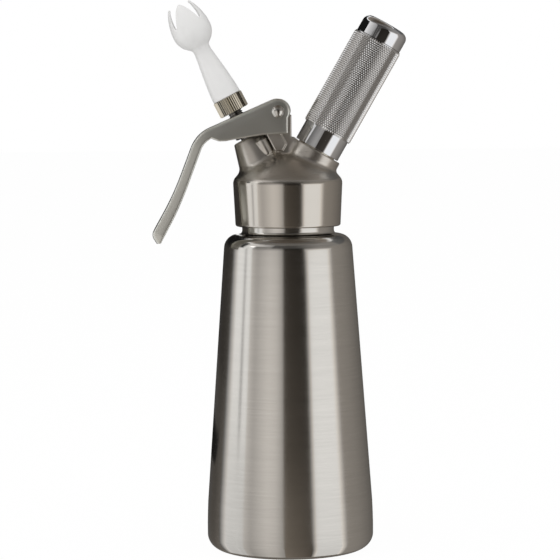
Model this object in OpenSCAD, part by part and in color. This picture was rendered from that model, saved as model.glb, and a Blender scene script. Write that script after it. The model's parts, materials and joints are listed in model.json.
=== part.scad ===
// Lever-operated cream whipper: a steel bottle, a screwed head with a lever valve
// and a charger holder, and a slotted piping tip.
// Origin: centre of the bottle's base. +Z up the bottle, +X towards the charger holder.

/* [Bottle] */
// Largest diameter of the bottle
bottle_d = 80; // [77:0.5:84]
// Wall of the bottle
bottle_wall = 1; // [0.8:0.1:1.4]
// Radius round the base
base_round = 7.1; // [5:0.1:8.5]
// Height of the widest place
widest_z = 12; // [10:0.5:16]
// Height of the centre of the shoulder's round
shoulder_z = 145; // [120:1:170]
// Diameter at the shoulder
shoulder_d = 61.6; // [59:0.2:66]
// Radius of the shoulder
shoulder_round = 6.7; // [5:0.1:7]
// Diameter of the neck
neck_d = 44; // [43:0.1:44.6]
// Wall of the neck
neck_wall = 2.1; // [1.6:0.1:3]
// Length of the neck above the shoulder
neck_h = 20; // [19:0.5:22]

/* [Head] */
// Gap between the shoulder and the head's lower edge
skirt_gap = 3.8; // [3:0.1:6]
// Diameter at the skirt's lower edge
skirt_low_d = 50.3; // [49.6:0.1:53]
// Diameter at the skirt's upper edge
skirt_top_d = 52.4; // [51:0.1:55]
// Height of the skirt's flank
skirt_h = 21.7; // [20.5:0.1:23]
// Radius of the dome
dome_r = 32.5; // [31:0.5:36]
// Thickness of the dome
dome_wall = 3.2; // [2.4:0.1:4]
// Radius of the cavity under the dome
cavity_r = 19.8; // [18:0.1:20.5]
// Thickness of the sealing ring between bottle and head
gasket_t = 2.2; // [1.6:0.1:2.6]
// Diameter of the charger holder's boss
holder_boss_d = 25.8; // [24:0.2:28]
// Length of that boss along its axis, from the bottle's axis
holder_boss_end = 27.7; // [26:0.1:30]
// Diameter of the valve boss at its top
valve_boss_top_d = 15.4; // [15:0.1:18]
// Diameter of the valve boss at its foot
valve_boss_foot_d = 22; // [20:0.5:24]
// Lean of the valve axis to the lever side
valve_tilt = 27.4; // [26.2:0.2:29]
// Lean of the holder axis to the other side
holder_tilt = 30; // [28:0.5:32]

/* [Threads] */
// Pitch of the neck thread
neck_pitch = 4; // [3:0.5:4]
// Turns of the neck thread
neck_turns = 2.5; // [1.5:0.25:2.5]
// Height of the neck thread
neck_thread_h = 0.75; // [0.5:0.05:0.8]
// Pitch of the holder thread
holder_pitch = 1.5; // [1.25:0.25:1.75]
// Turns of the holder thread
holder_turns = 4; // [2:0.5:4]
// Pitch of the stem thread
stem_pitch = 1; // [0.8:0.1:1.25]
// Height of the stem thread
stem_thread_h = 0.5; // [0.3:0.05:0.6]

/* [Valve] */
// Diameter of the valve stem
stem_d = 7.2; // [6.8:0.1:7.6]
// Bore of the valve stem
stem_bore_d = 4.2; // [3:0.1:4.4]
// Travel of the valve stem
valve_travel = 4.85; // [4.7:0.05:5]
// Outer diameter of the valve guide
guide_d = 11.2; // [10.6:0.1:11.6]
// Thickness of the guide's flange
guide_flange_t = 1.2; // [0.8:0.1:1.6]
// Length of the guide below its flange
guide_len = 13.8; // [12:0.1:15]
// Diameter of the poppet
poppet_d = 11.8; // [11:0.1:12.4]
// Thickness of the poppet
poppet_t = 2.5; // [2:0.1:3]
// Thickness of the poppet's seal
poppet_seal_t = 2; // [1.5:0.1:2.4]
// Diameter of the press collar
collar_d = 14; // [13:0.1:14.4]
// Height of the press collar
collar_h = 2.1; // [1.8:0.1:2.6]
// Wire of the valve spring
spring_wire = 1; // [0.8:0.05:1.2]
// Mean diameter of the valve spring
spring_d = 10.6; // [9.6:0.1:11]
// Curls of the valve spring
spring_curls = 6; // [5:1:7]

/* [Lever] */
// Sheet thickness of the lever
lever_t = 1.2; // [1:0.1:1.5]
// Width of the lever
lever_w = 24; // [23:0.5:27]
// Slope of the lever's plate at rest
plate_slope = 23.6; // [22:0.2:25]
// Outer radius of the plate's wrap round the pin
wrap_r = 6.1; // [5.8:0.1:6.6]
// Length of the plate from the pin to the bend
plate_len = 33; // [31:0.5:36]
// Outer radius of the bend between plate and handle
bend_r = 16.5; // [12:0.5:20]
// Angle of that bend
bend_angle = 45.4; // [44:0.2:48]
// Length of the handle's straight upper stretch
handle_upper = 13; // [8:0.5:16]
// Radius of the handle's slow curve
handle_curve_r = 150; // [100:5:180]
// Length of that curve
handle_curve_len = 22; // [16:1:28]
// Length of the handle's straight lower stretch
handle_lower = 8; // [6:0.5:12]
// Outer radius of the handle's toe
toe_r = 4.2; // [3.6:0.1:5]
// Depth of the handle's side walls at the bend
flank_depth = 5; // [4.4:0.1:6.5]
// Depth of the handle's side walls at the toe
flank_depth_toe = 5.9; // [5:0.1:8]
// Depth of the ears below the pin
ear_depth = 11.6; // [10.5:0.1:12]
// Diameter of the hinge pin
pin_d = 4; // [3.5:0.1:4.6]
// Diameter of the pin's domed heads
pin_head_d = 5.8; // [5.4:0.1:7]
// Height of the pin's domed heads
pin_head_h = 1.7; // [1.2:0.1:2]

/* [Piping tip] */
// Diameter of the knurled tip ring
ring_d = 14.8; // [14.6:0.1:16]
// Height of the knurled tip ring
ring_h = 7.8; // [7:0.1:9]
// Foot diameter of the tip
nozzle_foot_d = 14; // [13.6:0.1:14.4]
// Neck diameter of the tip
nozzle_neck_d = 8.4; // [7.6:0.1:9]
// Height of the neck above the ring
nozzle_neck_z = 24; // [20:0.5:25.5]
// Diameter of the bulb
bulb_d = 19; // [18:0.1:21]
// Height of the bulb's widest place above the ring
bulb_z = 35.5; // [34.5:0.5:38]
// Length of the tip above the ring
nozzle_len = 49.4; // [47:0.2:52]
// Radius of the bulb's inward curve
petal_curve_r = 25.5; // [24:0.5:30]
// Wall of the tip
nozzle_wall = 1.3; // [1:0.1:1.6]
// Depth of the slots between the four petals
slot_depth = 10; // [8:0.5:12]

/* [Charger and holder] */
// Diameter of the charger
charger_d = 18.6; // [18:0.1:19]
// Length of the charger
charger_len = 65.5; // [62:0.5:67]
// Diameter of the charger's neck
charger_neck_d = 8.8; // [8.4:0.1:9.2]
// Wall of the charger
charger_wall = 1.2; // [1:0.1:1.5]
// Diameter of the holder's smooth base band
holder_d = 22.7; // [22.3:0.1:23.4]
// Height of that base band
base_band_h = 10.2; // [9.4:0.1:12]
// Height of the holder's smooth end cap
end_cap_h = 9.2; // [8:0.1:11]
// Diameter of the end cap
end_cap_d = 23; // [22.8:0.1:24]
// Radius round the end cap
end_cap_round = 3.4; // [2.5:0.1:4]
// Diameter of the knurled grip sleeve
sleeve_d = 24.6; // [24.2:0.1:26]
// Thickness of the holder's closed end
holder_end_t = 2; // [1.5:0.1:3]
// Thickness of the cushion in the holder's end
cushion_t = 1.1; // [0.8:0.1:1.6]
// Outer diameter of the stud's thread
stud_d = 20.3; // [20.1:0.1:20.5]
// Length of the stud's threaded end
stud_h = 8; // [7.5:0.1:8.4]
// Diameter of the piercing pin
piercer_d = 2.2; // [1.8:0.1:2.6]

/* [Clearances] */
// Radial gap of a running fit
run_clear = 0.05; // [0.03:0.01:0.08]
// Gap between seated pieces of one body
seat_clear = 0.02; // [0.01:0.01:0.05]
// Gap between faces that move apart
face_clear = 0.3; // [0.2:0.05:0.4]

/* [Hidden] */
$fn = 72;

// Heights up the bottle's axis
shoulder_top = shoulder_z + shoulder_round;
neck_top = shoulder_top + neck_h;
skirt_z = shoulder_top + skirt_gap;
skirt_top = skirt_z + skirt_h;
gasket_z = neck_top + face_clear;
ledge_z = gasket_z + gasket_t + face_clear;
neck_bore_r = neck_d / 2 - neck_wall;
skirt_bore_r = neck_d / 2 + neck_thread_h + 0.4;
neck_thread_z = skirt_z + 3.6;
dome_z = skirt_top - sqrt(pow(dome_r, 2) - pow(skirt_top_d / 2, 2)) + 0.2;

// Valve axis: distances are measured along it from the bottle's axis
valve_axis_z = skirt_z + 6.4;
valve_boss_end = 40.6;
valve_boss_foot = 28.4;
boss_sunk = 5;
boss_flare = (valve_boss_foot_d - valve_boss_top_d) / 2 / (valve_boss_end - valve_boss_foot);
spring_well_r = collar_d / 2 - 0.5;
spring_well_s = valve_boss_end - 8.3;
guide_top = spring_well_s + guide_flange_t;
guide_low = spring_well_s - guide_len;
poppet_top = guide_low - face_clear - poppet_seal_t;
poppet_low = poppet_top - poppet_t;
cross_hole_s = guide_low + 2.6;
stem_r = stem_d / 2;

// Lever: the pin lies beside the valve axis
pin_t = 18.1;
pin_s = 45.1;
pin_x = pin_t * cos(valve_tilt) - pin_s * sin(valve_tilt);
pin_z = valve_axis_z + pin_t * sin(valve_tilt) + pin_s * cos(valve_tilt);
pin_at = [pin_x, pin_z];
rock = valve_tilt - plate_slope;
plate_under_s = pin_s + (wrap_r - lever_t) / cos(rock) + pin_t * tan(rock);
plate_hole_r = stem_r + 1.2;
collar_top = plate_under_s - face_clear - plate_hole_r * tan(rock);
collar_low = collar_top - collar_h;
ear_gap = 0.4;
post_w = lever_w - 2 * lever_t - 2 * ear_gap;
wrap_tail = 1;

// Tip: the ring sits above the lever's plate
ring_low = plate_under_s + lever_t + 2.1;
ring_top = ring_low + ring_h;
stem_top = ring_top - 1.5;
washer_t = 0.9;
washer_low = stem_top + face_clear;
stem_thread_low = collar_top + 0.8;
ring_bore_r = stem_r + 0.35;
spigot_r = ring_d / 2 - 1;
spigot_wall = 1.35;
spigot_len = 3.9;

// Holder axis: distances are measured along it from the boss face
holder_axis_z = skirt_z + 12.1;
holder_gap = 0.35;
holder_mouth_r = stud_d / 2 + 0.4;
holder_mouth_len = stud_h + 1;
holder_bore_r = charger_d / 2 + 0.25;
stud_root_r = stud_d / 2 - 0.6;
stud_thread_low = 1.2;
socket_r = charger_neck_d / 2 + face_clear;
charger_low = -0.2;
charger_seal_t = 1.2;
socket_low = charger_low - face_clear - charger_seal_t;
cushion_low = charger_low + charger_len + 0.25;
holder_len = cushion_low + cushion_t + holder_end_t;
sleeve_len = holder_len - base_band_h - end_cap_h;
shank_r = 6;
shank_low = -8.7;
nut_low = shank_low + 0.1;
nut_t = 1.9;
nut_r = shank_r + 2.6;
nipple_r = 3.2;
nipple_low = shank_low - 5.8;

// Colours of the finishes
steel = [0.72, 0.72, 0.70];
satin = [0.62, 0.60, 0.57];
sheet = [0.55, 0.55, 0.53];
chrome = [0.82, 0.83, 0.85];
nickel = [0.70, 0.66, 0.56];
brass = [0.78, 0.66, 0.36];
white_plastic = [0.95, 0.95, 0.94];
silicone = [0.88, 0.30, 0.22];
black_rubber = [0.10, 0.10, 0.10];

module on_valve_axis(s = 0)
    translate([0, 0, valve_axis_z]) rotate([0, -valve_tilt, 0]) translate([0, 0, s]) children();

module on_holder_axis(h = 0)
    translate([0, 0, holder_axis_z]) rotate([0, holder_tilt, 0])
        translate([0, 0, holder_boss_end + h]) children();

// A side outline in X and Z becomes a plate of the given width across Y
module across(width)
    rotate([90, 0, 0]) linear_extrude(height = width, center = true) children();

// A place beside the valve axis as X and Z
function beside_valve(t, s) = [t * cos(valve_tilt) - s * sin(valve_tilt),
                               valve_axis_z + t * sin(valve_tilt) + s * cos(valve_tilt)];

module tube(outer_r, inner_r, h)
    difference() {
        cylinder(r = outer_r, h = h);
        translate([0, 0, -1]) cylinder(r = inner_r, h = h + 2);
    }

module o_ring(inner_r, section_d)
    rotate_extrude() translate([inner_r + section_d / 2, 0]) circle(d = section_d, $fn = 24);

// Helical thread ridge from root_r, the wall it stands on, to crest_r, its edge.
// It stands outwards where crest_r is the larger, inwards otherwise.
module thread(root_r, crest_r, pitch, turns, steps = 36) {
    rings = round(turns * steps);
    out = crest_r > root_r ? 1 : -1;
    wall_r = root_r - 0.25 * out;
    foot = 0.3 * pitch * out;
    crest = 0.11 * pitch * out;
    section = [[wall_r, -foot], [crest_r, -crest], [crest_r, crest], [wall_r, foot]];
    points = [for (i = [0:rings]) for (p = section)
        [p[0] * cos(360 * i / steps), p[0] * sin(360 * i / steps), p[1] + pitch * i / steps]];
    sides = [for (i = [0:rings - 1]) for (j = [0:3])
        let (a = 4 * i + j, b = 4 * i + (j + 1) % 4)
            each [[a, b, a + 4], [b, b + 4, a + 4]]];
    last = 4 * rings;
    ends = [[0, 2, 1], [0, 3, 2], [last, last + 1, last + 2], [last, last + 2, last + 3]];
    polyhedron(points = points, faces = concat(sides, ends), convexity = 6);
}

// ---- bottle ----

// Half outline of the bottle, drawn in by inset for its inside
module bottle_outline(inset) {
    r = bottle_d / 2;
    low_r = r - base_round;
    top_r = shoulder_d / 2 - shoulder_round;
    taper = atan((r - shoulder_d / 2) / (shoulder_z - widest_z));
    round_r = shoulder_round - inset;
    difference() {
        union() {
            translate([low_r, base_round]) circle(r = base_round - inset);
            translate([top_r, shoulder_z]) circle(r = round_r);
            polygon([[0, inset], [low_r, inset], [r - inset - 0.05, base_round],
                     [r - inset, widest_z], [r - inset - 0.12, widest_z + 5],
                     [r - inset - 0.35, widest_z + 11],
                     [top_r + round_r * cos(taper), shoulder_z + round_r * sin(taper)],
                     [top_r, shoulder_top - inset], [0, shoulder_top - inset]]);
        }
        translate([-bottle_d, -1]) square([bottle_d, shoulder_top + 2]);
    }
}

module bottle() {
    color(steel) difference() {
        union() {
            rotate_extrude() bottle_outline(0);
            translate([0, 0, shoulder_top - 1]) cylinder(d = neck_d, h = neck_h + 1);
            // hollow round between shoulder and neck
            rotate_extrude() difference() {
                translate([neck_d / 2 - 1, shoulder_top - 1]) square(2);
                translate([neck_d / 2 + 1, shoulder_top + 1]) circle(r = 1);
            }
            translate([0, 0, neck_thread_z])
                thread(neck_d / 2, neck_d / 2 + neck_thread_h, neck_pitch, neck_turns);
        }
        rotate_extrude() bottle_outline(bottle_wall);
        translate([0, 0, shoulder_z]) cylinder(r = neck_bore_r, h = neck_top - shoulder_z + 1);
    }
}

// ---- head ----

module head_gasket()
    color(silicone) translate([0, 0, gasket_z])
        tube(skirt_bore_r - face_clear, neck_bore_r, gasket_t);

// Half outline of the skirt and dome
module head_outline() {
    corner_r = 2;
    corner_x = skirt_top_d / 2 - corner_r;
    corner_z = dome_z + sqrt(pow(dome_r - corner_r, 2) - pow(corner_x, 2));
    lip = 1.1;
    translate([corner_x, corner_z]) circle(r = corner_r);
    translate([skirt_low_d / 2 - lip, skirt_z + lip]) circle(r = lip);
    polygon([[0, skirt_z], [skirt_low_d / 2 - lip, skirt_z], [skirt_low_d / 2, skirt_z + lip],
             [skirt_top_d / 2, corner_z], [corner_x, corner_z + corner_r / 2], [0, corner_z]]);
    intersection() {
        translate([0, dome_z]) circle(r = dome_r);
        polygon([[0, dome_z], [2 * corner_x, 2 * corner_z - dome_z], [0, dome_z + 2 * dome_r]]);
    }
}

// The lever's bearing block: a wide cheek block with the pin's eye, hung clear of the dome
// on a narrower web, and two round ribs along the valve boss
module hinge_post() {
    eye_r = wrap_r - lever_t - 0.4;
    back_x = pin_x + wrap_r + 0.4;
    shelf_z = pin_z - wrap_tail - 0.5;
    cheek_t = 8.2;
    cheek_low = valve_boss_end - 11.4;
    rib_r = 2.8;
    rib_top = valve_boss_end - 3.9;
    web_w = post_w - 6.4;
    neck_x = pin_x + 1.4;
    across(post_w) {
        translate(pin_at) circle(r = eye_r);
        polygon([beside_valve(cheek_t, cheek_low), beside_valve(cheek_t, pin_s - 4.2),
                 beside_valve(pin_t - eye_r * cos(35), pin_s + eye_r * sin(35)),
                 pin_at, [pin_x + eye_r - 0.2, shelf_z], [neck_x, pin_z - 10.8],
                 [neck_x + 2.5, pin_z - 15.3], [neck_x + 0.7, pin_z - 18.4]]);
    }
    across(web_w)
        polygon([beside_valve(cheek_t + 1, cheek_low - 6), beside_valve(cheek_t + 1, cheek_low + 4),
                 pin_at, [pin_x + eye_r - 0.2, shelf_z], [back_x, shelf_z],
                 [back_x, pin_z - 12], [back_x + 1.5, pin_z - 13.2],
                 [back_x + 4, pin_z - 20], [back_x, pin_z - 24]]);
    for (side = [-1, 1])
        on_valve_axis(cheek_low) translate([cheek_t - 3.4, side * (post_w / 2 - rib_r), 0]) {
            cylinder(r = rib_r, h = rib_top - cheek_low);
            translate([0, 0, rib_top - cheek_low])
                cylinder(r1 = rib_r, r2 = rib_r - 1.8, h = 1.8);
        }
}

module head_casting() {
    // inside thread, half a pitch above the neck's
    color(satin) translate([0, 0, neck_thread_z + neck_pitch / 2])
        thread(skirt_bore_r, neck_d / 2 + 0.35, neck_pitch, neck_turns - 0.25);
    color(satin) difference() {
        union() {
            rotate_extrude() difference() {
                head_outline();
                translate([-2 * dome_r, 0]) square([2 * dome_r, dome_z + 2 * dome_r]);
            }
            on_valve_axis(valve_boss_foot - boss_sunk)
                cylinder(r1 = valve_boss_foot_d / 2 + boss_sunk * boss_flare,
                         d2 = valve_boss_top_d, h = valve_boss_end - valve_boss_foot + boss_sunk);
            on_holder_axis(-9) cylinder(d = holder_boss_d, h = 9);
            hinge_post();
        }
        // skirt bore, then the cavity under the dome
        translate([0, 0, skirt_z - 1]) cylinder(r = skirt_bore_r, h = ledge_z - skirt_z + 1);
        intersection() {
            translate([0, 0, dome_z]) sphere(r = dome_r - dome_wall);
            translate([0, 0, ledge_z - 1]) cylinder(r = cavity_r, h = dome_r);
        }
        // valve guide's bore and the spring's well
        on_valve_axis(guide_low) cylinder(d = guide_d + 2 * seat_clear, h = guide_len + 1);
        on_valve_axis(spring_well_s) cylinder(r = spring_well_r + seat_clear, h = 20);
        // charger stud's bore and the groove of its seal
        on_holder_axis(shank_low) cylinder(r = shank_r + seat_clear, h = 30);
        on_holder_axis(-1.5) cylinder(r = shank_r + 2.2, h = 30);
        // flat seat for the stud's nut in the cavity
        on_holder_axis(nut_low - 1) cylinder(r = nut_r + 0.3, h = nut_t + 1 + seat_clear);
        // hinge pin's bore
        translate([pin_x, lever_w, pin_z]) rotate([90, 0, 0])
            cylinder(r = pin_d / 2 + run_clear, h = 2 * lever_w);
    }
}

module valve_guide()
    color(brass) on_valve_axis(guide_low) difference() {
        union() {
            cylinder(d = guide_d, h = guide_len);
            translate([0, 0, guide_len]) cylinder(r = spring_well_r - seat_clear, h = guide_flange_t);
        }
        translate([0, 0, -1]) cylinder(r = stem_r + run_clear, h = guide_len + 5);
        translate([0, 0, -1]) cylinder(r = guide_d / 2 - 0.9, h = 6);
        translate([0, 0, 7]) cylinder(r = guide_d / 2 - 0.7, h = 1.5);
    }

module guide_o_ring()
    color(black_rubber) on_valve_axis(guide_low + 7.75)
        o_ring(stem_r + run_clear, 1.2);

// ---- charger inlet ----

module charger_stud()
    color(nickel) on_holder_axis() difference() {
        union() {
            cylinder(r = stud_root_r, h = stud_h);
            translate([0, 0, stud_thread_low])
                thread(stud_root_r, stud_d / 2, holder_pitch, holder_turns - 0.3);
            translate([0, 0, shank_low]) cylinder(r = shank_r, h = -shank_low + 1);
            translate([0, 0, nipple_low]) cylinder(r = nipple_r, h = shank_low - nipple_low + 1);
            translate([0, 0, nipple_low]) cylinder(r = nipple_r + 0.8, h = 0.8);
        }
        translate([0, 0, socket_low]) cylinder(r = socket_r, h = stud_h + 5);
        translate([0, 0, socket_low - 3.2]) cylinder(r = piercer_d / 2 + 1 + seat_clear, h = 5);
        translate([0, 0, nipple_low + 1.8]) cylinder(r = 1, h = 12);
        translate([-10, 0, nipple_low + 3]) rotate([0, 90, 0]) cylinder(r = 0.7, h = 20);
    }

module stud_o_ring()
    color(black_rubber) on_holder_axis(-0.75)
        o_ring(shank_r + seat_clear, 1.4);

module stud_nut()
    color(nickel) on_holder_axis(nut_low) difference() {
        cylinder(r = nut_r, h = nut_t, $fn = 6);
        translate([0, 0, -1]) cylinder(r = shank_r + seat_clear, h = 4);
    }

module piercing_pin()
    color(steel) on_holder_axis(socket_low) difference() {
        union() {
            translate([0, 0, -3.2]) cylinder(r = piercer_d / 2 + 1, h = 3.2);
            cylinder(d = piercer_d, h = charger_seal_t + 2.6);
            translate([0, 0, charger_seal_t + 2.6]) cylinder(d1 = piercer_d, d2 = 1.1, h = 1.6);
        }
        translate([0, 0, -4]) cylinder(r = 0.4, h = 12);
    }

module charger_seal()
    color(black_rubber) on_holder_axis(socket_low)
        tube(socket_r - 0.05, piercer_d / 2 + 0.05, charger_seal_t);

module inlet_sleeve()
    color(silicone) on_holder_axis(nipple_low + 0.85)
        tube(nipple_r + 1.1, nipple_r + seat_clear, shank_low - nipple_low - 0.9);

// ---- lever ----

// Centre, start angle and turn give the points of an arc
function arc(centre, r, start, turn, n) =
    [for (i = [0:n]) centre + r * heading(start + turn * i / n)];

function heading(angle) = [cos(angle), sin(angle)];

// Directions down the plate, down the handle and along its last stretch
plate_dir = 180 + plate_slope;
handle_dir = plate_dir + bend_angle;
curve_turn = handle_curve_len / handle_curve_r * 180 / PI;
last_dir = handle_dir - curve_turn;
toe_turn = 62;
toe_len = 2.7;
toe_tip_r = 1.1;
bend_start = pin_at + wrap_r * heading(plate_dir - 90) + plate_len * heading(plate_dir);
bend_c = bend_start + bend_r * heading(plate_dir + 90);
curve_start = bend_c + bend_r * heading(handle_dir - 90) + handle_upper * heading(handle_dir);
curve_c = curve_start + handle_curve_r * heading(handle_dir - 90);
toe_start = curve_c - handle_curve_r * heading(last_dir - 90) + handle_lower * heading(last_dir);
toe_c = toe_start + toe_r * heading(last_dir + 90);
wrap_n = 14;
bend_n = 8;
curve_n = 6;

// The sheet's line from the wrap's end round the pin and down to the toe.
// depth shifts it inwards: 0 is the outer face, lever_t the inner face.
function sheet_line(depth) =
    concat([[pin_x + wrap_r - depth, pin_z - wrap_tail]],
           arc(pin_at, wrap_r - depth, 0, 90 + plate_slope, wrap_n),
           arc(bend_c, bend_r - depth, plate_dir - 90, bend_angle, bend_n),
           arc(curve_c, handle_curve_r + depth, handle_dir + 90, -curve_turn, curve_n),
           arc(toe_c, toe_r - depth, last_dir - 90, toe_turn, 5),
           [toe_c + (toe_r - depth) * heading(last_dir - 90 + toe_turn)
                + toe_len * heading(last_dir + toe_turn)]);

// Rounded end of the toe
function toe_tip() = let (
        low_dir = last_dir + toe_turn,
        centre = toe_c + (toe_r - toe_tip_r) * heading(low_dir - 90) + toe_len * heading(low_dir))
    arc(centre, toe_tip_r, low_dir - 60, 110, 4);

// Inner edge of the side walls, from the toe back up to the ears
function flank_edge(line) = let (
        first = wrap_n + 2,
        last = first + bend_n + 1 + curve_n,
        below = [[plate_len - 1.5, 1.6], [plate_len - 4.5, 2.8], [plate_len - 7, 3.4],
                 [plate_len - 12, 4.6], [plate_len / 3, ear_depth - 4.3], [-0.3, ear_depth]])
    concat([for (i = [last:-1:first])
               let (step = line[i + 1] - line[i - 1],
                    grow = pow((i - first) / (last - first), 3),
                    depth = flank_depth + grow * (flank_depth_toe - flank_depth))
                   line[i] + depth * [-step[1], step[0]] / norm(step)],
           [for (p = below) pin_at + p[0] * heading(plate_dir) + p[1] * heading(plate_slope - 90)]);

module lever() {
    outer = sheet_line(0);
    inner = sheet_line(lever_t);
    far = pin_x + 40;
    color(sheet) difference() {
        across(lever_w)
            polygon(concat(outer, toe_tip(), flank_edge(outer),
                           [[pin_x + wrap_r - lever_t, pin_z - wrap_tail - 2]]));
        across(lever_w - 2 * lever_t)
            polygon(concat(inner, [[far, inner[len(inner) - 1][1] - 10], [far, pin_z - wrap_tail]]));
        // hole for the valve stem
        on_valve_axis(pin_s) rotate([0, rock, 0]) cylinder(r = plate_hole_r, h = 20);
        // holes for the hinge pin
        translate([pin_x, lever_w, pin_z]) rotate([90, 0, 0])
            cylinder(r = pin_d / 2 + seat_clear, h = 2 * lever_w);
    }
}

module hinge_pin()
    color(steel) translate([pin_x, 0, pin_z]) rotate([90, 0, 0]) {
        cylinder(d = pin_d, h = lever_w + 0.2, center = true);
        for (side = [0, 1]) mirror([0, 0, side]) intersection() {
            dome = (pow(pin_head_d / 2, 2) + pow(pin_head_h, 2)) / (2 * pin_head_h);
            translate([0, 0, lever_w / 2 + pin_head_h - dome]) sphere(r = dome);
            translate([0, 0, lever_w / 2 + seat_clear]) cylinder(d = pin_head_d, h = pin_head_h);
        }
    }

// ---- valve ----

module valve_stem()
    color(steel) on_valve_axis() difference() {
        union() {
            translate([0, 0, poppet_low]) cylinder(d = poppet_d, h = poppet_t);
            translate([0, 0, poppet_low]) cylinder(r = stem_r, h = collar_top - poppet_low);
            translate([0, 0, collar_low]) cylinder(r = stem_r - stem_thread_h, h = stem_top - collar_low);
            translate([0, 0, stem_thread_low])
                thread(stem_r - stem_thread_h, stem_r, stem_pitch,
                       (stem_top - stem_thread_low - 1) / stem_pitch, 20);
        }
        translate([0, 0, cross_hole_s - 1.6]) cylinder(d = stem_bore_d, h = 80);
        for (turn = [0, 90]) translate([0, 0, cross_hole_s]) rotate([90, 0, turn])
            cylinder(r = 1.3, h = 4 * stem_r, center = true);
    }

module poppet_seal()
    color(silicone) on_valve_axis(poppet_top + seat_clear)
        tube(poppet_d / 2 - 0.1, stem_r + seat_clear, poppet_seal_t);

// Screwed on the stem under the lever; its rim falls away so that the plate can rock
module press_collar()
    color(brass) on_valve_axis() rotate_extrude()
        polygon([[stem_r + seat_clear, collar_low], [collar_d / 2, collar_low],
                 [collar_d / 2, collar_top - 0.8], [plate_hole_r + 0.5, collar_top],
                 [stem_r + seat_clear, collar_top]]);

// Points along the valve spring's wire, closed turns at both ends
spring_low = guide_top + spring_wire / 2 + 0.05;
spring_high = collar_low - spring_wire / 2 - 0.05;
function spring_rise(u) = let (end = 0.12, closed = spring_wire * 1.45)
    u < end ? closed * u / end :
    u > 1 - end ? (spring_high - spring_low) - closed * (1 - u) / end :
    closed + (spring_high - spring_low - 2 * closed) * (u - end) / (1 - 2 * end);
spring_steps = spring_curls * 8 * 2;
function spring_point(i, steps) = let (u = i / steps, a = 360 * spring_curls * u)
    [spring_d / 2 * cos(a), spring_d / 2 * sin(a), spring_low + spring_rise(u)];

module valve_spring() {
    steps = spring_curls * 8;
    sides = 6;
    points = [for (i = [0:steps])
        let (p = spring_point(i, steps),
             out = [p[0], p[1], 0] / (spring_d / 2))
            for (k = [0:sides - 1])
                p + spring_wire / 2 * (cos(60 * k) * out + sin(60 * k) * [0, 0, 1])];
    faces = [for (i = [0:steps - 1]) for (k = [0:sides - 1])
        let (a = sides * i + k, b = sides * i + (k + 1) % sides)
            each [[a, b, a + sides], [b, b + sides, a + sides]]];
    first = [for (k = [1:sides - 2]) [0, k + 1, k]];
    end = sides * steps;
    last = [for (k = [1:sides - 2]) [end, end + k, end + k + 1]];
    color(steel) on_valve_axis() polyhedron(points = points, faces = concat(faces, first, last), convexity = 8);
}

// Least gap between neighbouring turns of the spring
turn_gaps = [for (i = [0:spring_steps - 16])
    norm(spring_point(i, spring_steps) - spring_point(i + 16, spring_steps)) - spring_wire];
echo(least_spring_gap = min(turn_gaps));

// ---- piping tip ----

module tip_washer()
    color(silicone) on_valve_axis(washer_low)
        tube(spigot_r - spigot_wall - 0.1 - face_clear, stem_bore_d / 2, washer_t);

module tip_ring() {
    // inside thread, half a pitch off the stem's
    start = stem_thread_low + stem_pitch * (ceil((ring_low + 0.4 - stem_thread_low) / stem_pitch) + 0.5);
    color(nickel) on_valve_axis(start)
        thread(ring_bore_r, stem_r - stem_thread_h + 0.3, stem_pitch,
               (stem_top - start - 0.6) / stem_pitch, 20);
    color(nickel) on_valve_axis(ring_low) difference() {
        edge = 0.6;
        rotate_extrude()
            polygon([[0, 0], [ring_d / 2 - edge, 0], [ring_d / 2, edge],
                     [ring_d / 2, ring_h - edge], [ring_d / 2 - edge, ring_h], [0, ring_h]]);
        translate([0, 0, -1]) cylinder(r = ring_bore_r, h = ring_h + 2);
        translate([0, 0, stem_top - ring_low]) cylinder(r = spigot_r + seat_clear, h = ring_h);
        translate([0, 0, ring_h - spigot_len - 0.1]) difference() {
            cylinder(r = spigot_r + seat_clear, h = ring_h);
            translate([0, 0, -1]) cylinder(r = spigot_r - spigot_wall - seat_clear, h = ring_h);
        }
    }
}

// Half outline of the tip, drawn in by inset for its inside
module nozzle_outline(inset) {
    neck_r = nozzle_neck_d / 2 - inset;
    bulb_r = bulb_d / 2 - inset;
    polygon([[0, 0], [nozzle_foot_d / 2 - inset, 0], [nozzle_foot_d / 2 - 0.3 - inset, 5],
             [nozzle_foot_d / 2 - 1.1 - inset, nozzle_neck_z / 2],
             [neck_r, nozzle_neck_z], [neck_r, bulb_z], [0, bulb_z]]);
    intersection() {
        translate([0, bulb_z]) circle(r = bulb_r);
        square([bulb_r + 1, bulb_z]);
    }
    // hollow round between neck and bulb
    hollow_r = 2.5 + inset;
    hollow_x = neck_r + hollow_r;
    hollow_z = bulb_z - sqrt(pow(bulb_r + hollow_r, 2) - pow(hollow_x, 2));
    touch = bulb_r / (bulb_r + hollow_r);
    difference() {
        polygon([[0, hollow_z], [hollow_x, hollow_z],
                 [hollow_x * touch, bulb_z - (bulb_z - hollow_z) * touch], [0, bulb_z]]);
        translate([hollow_x, hollow_z]) circle(r = hollow_r);
    }
    intersection() {
        translate([bulb_r - petal_curve_r, bulb_z]) circle(r = petal_curve_r);
        translate([0, bulb_z - 0.1]) square([bulb_r + 1, nozzle_len - bulb_z + 0.1 + inset]);
    }
}

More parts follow.
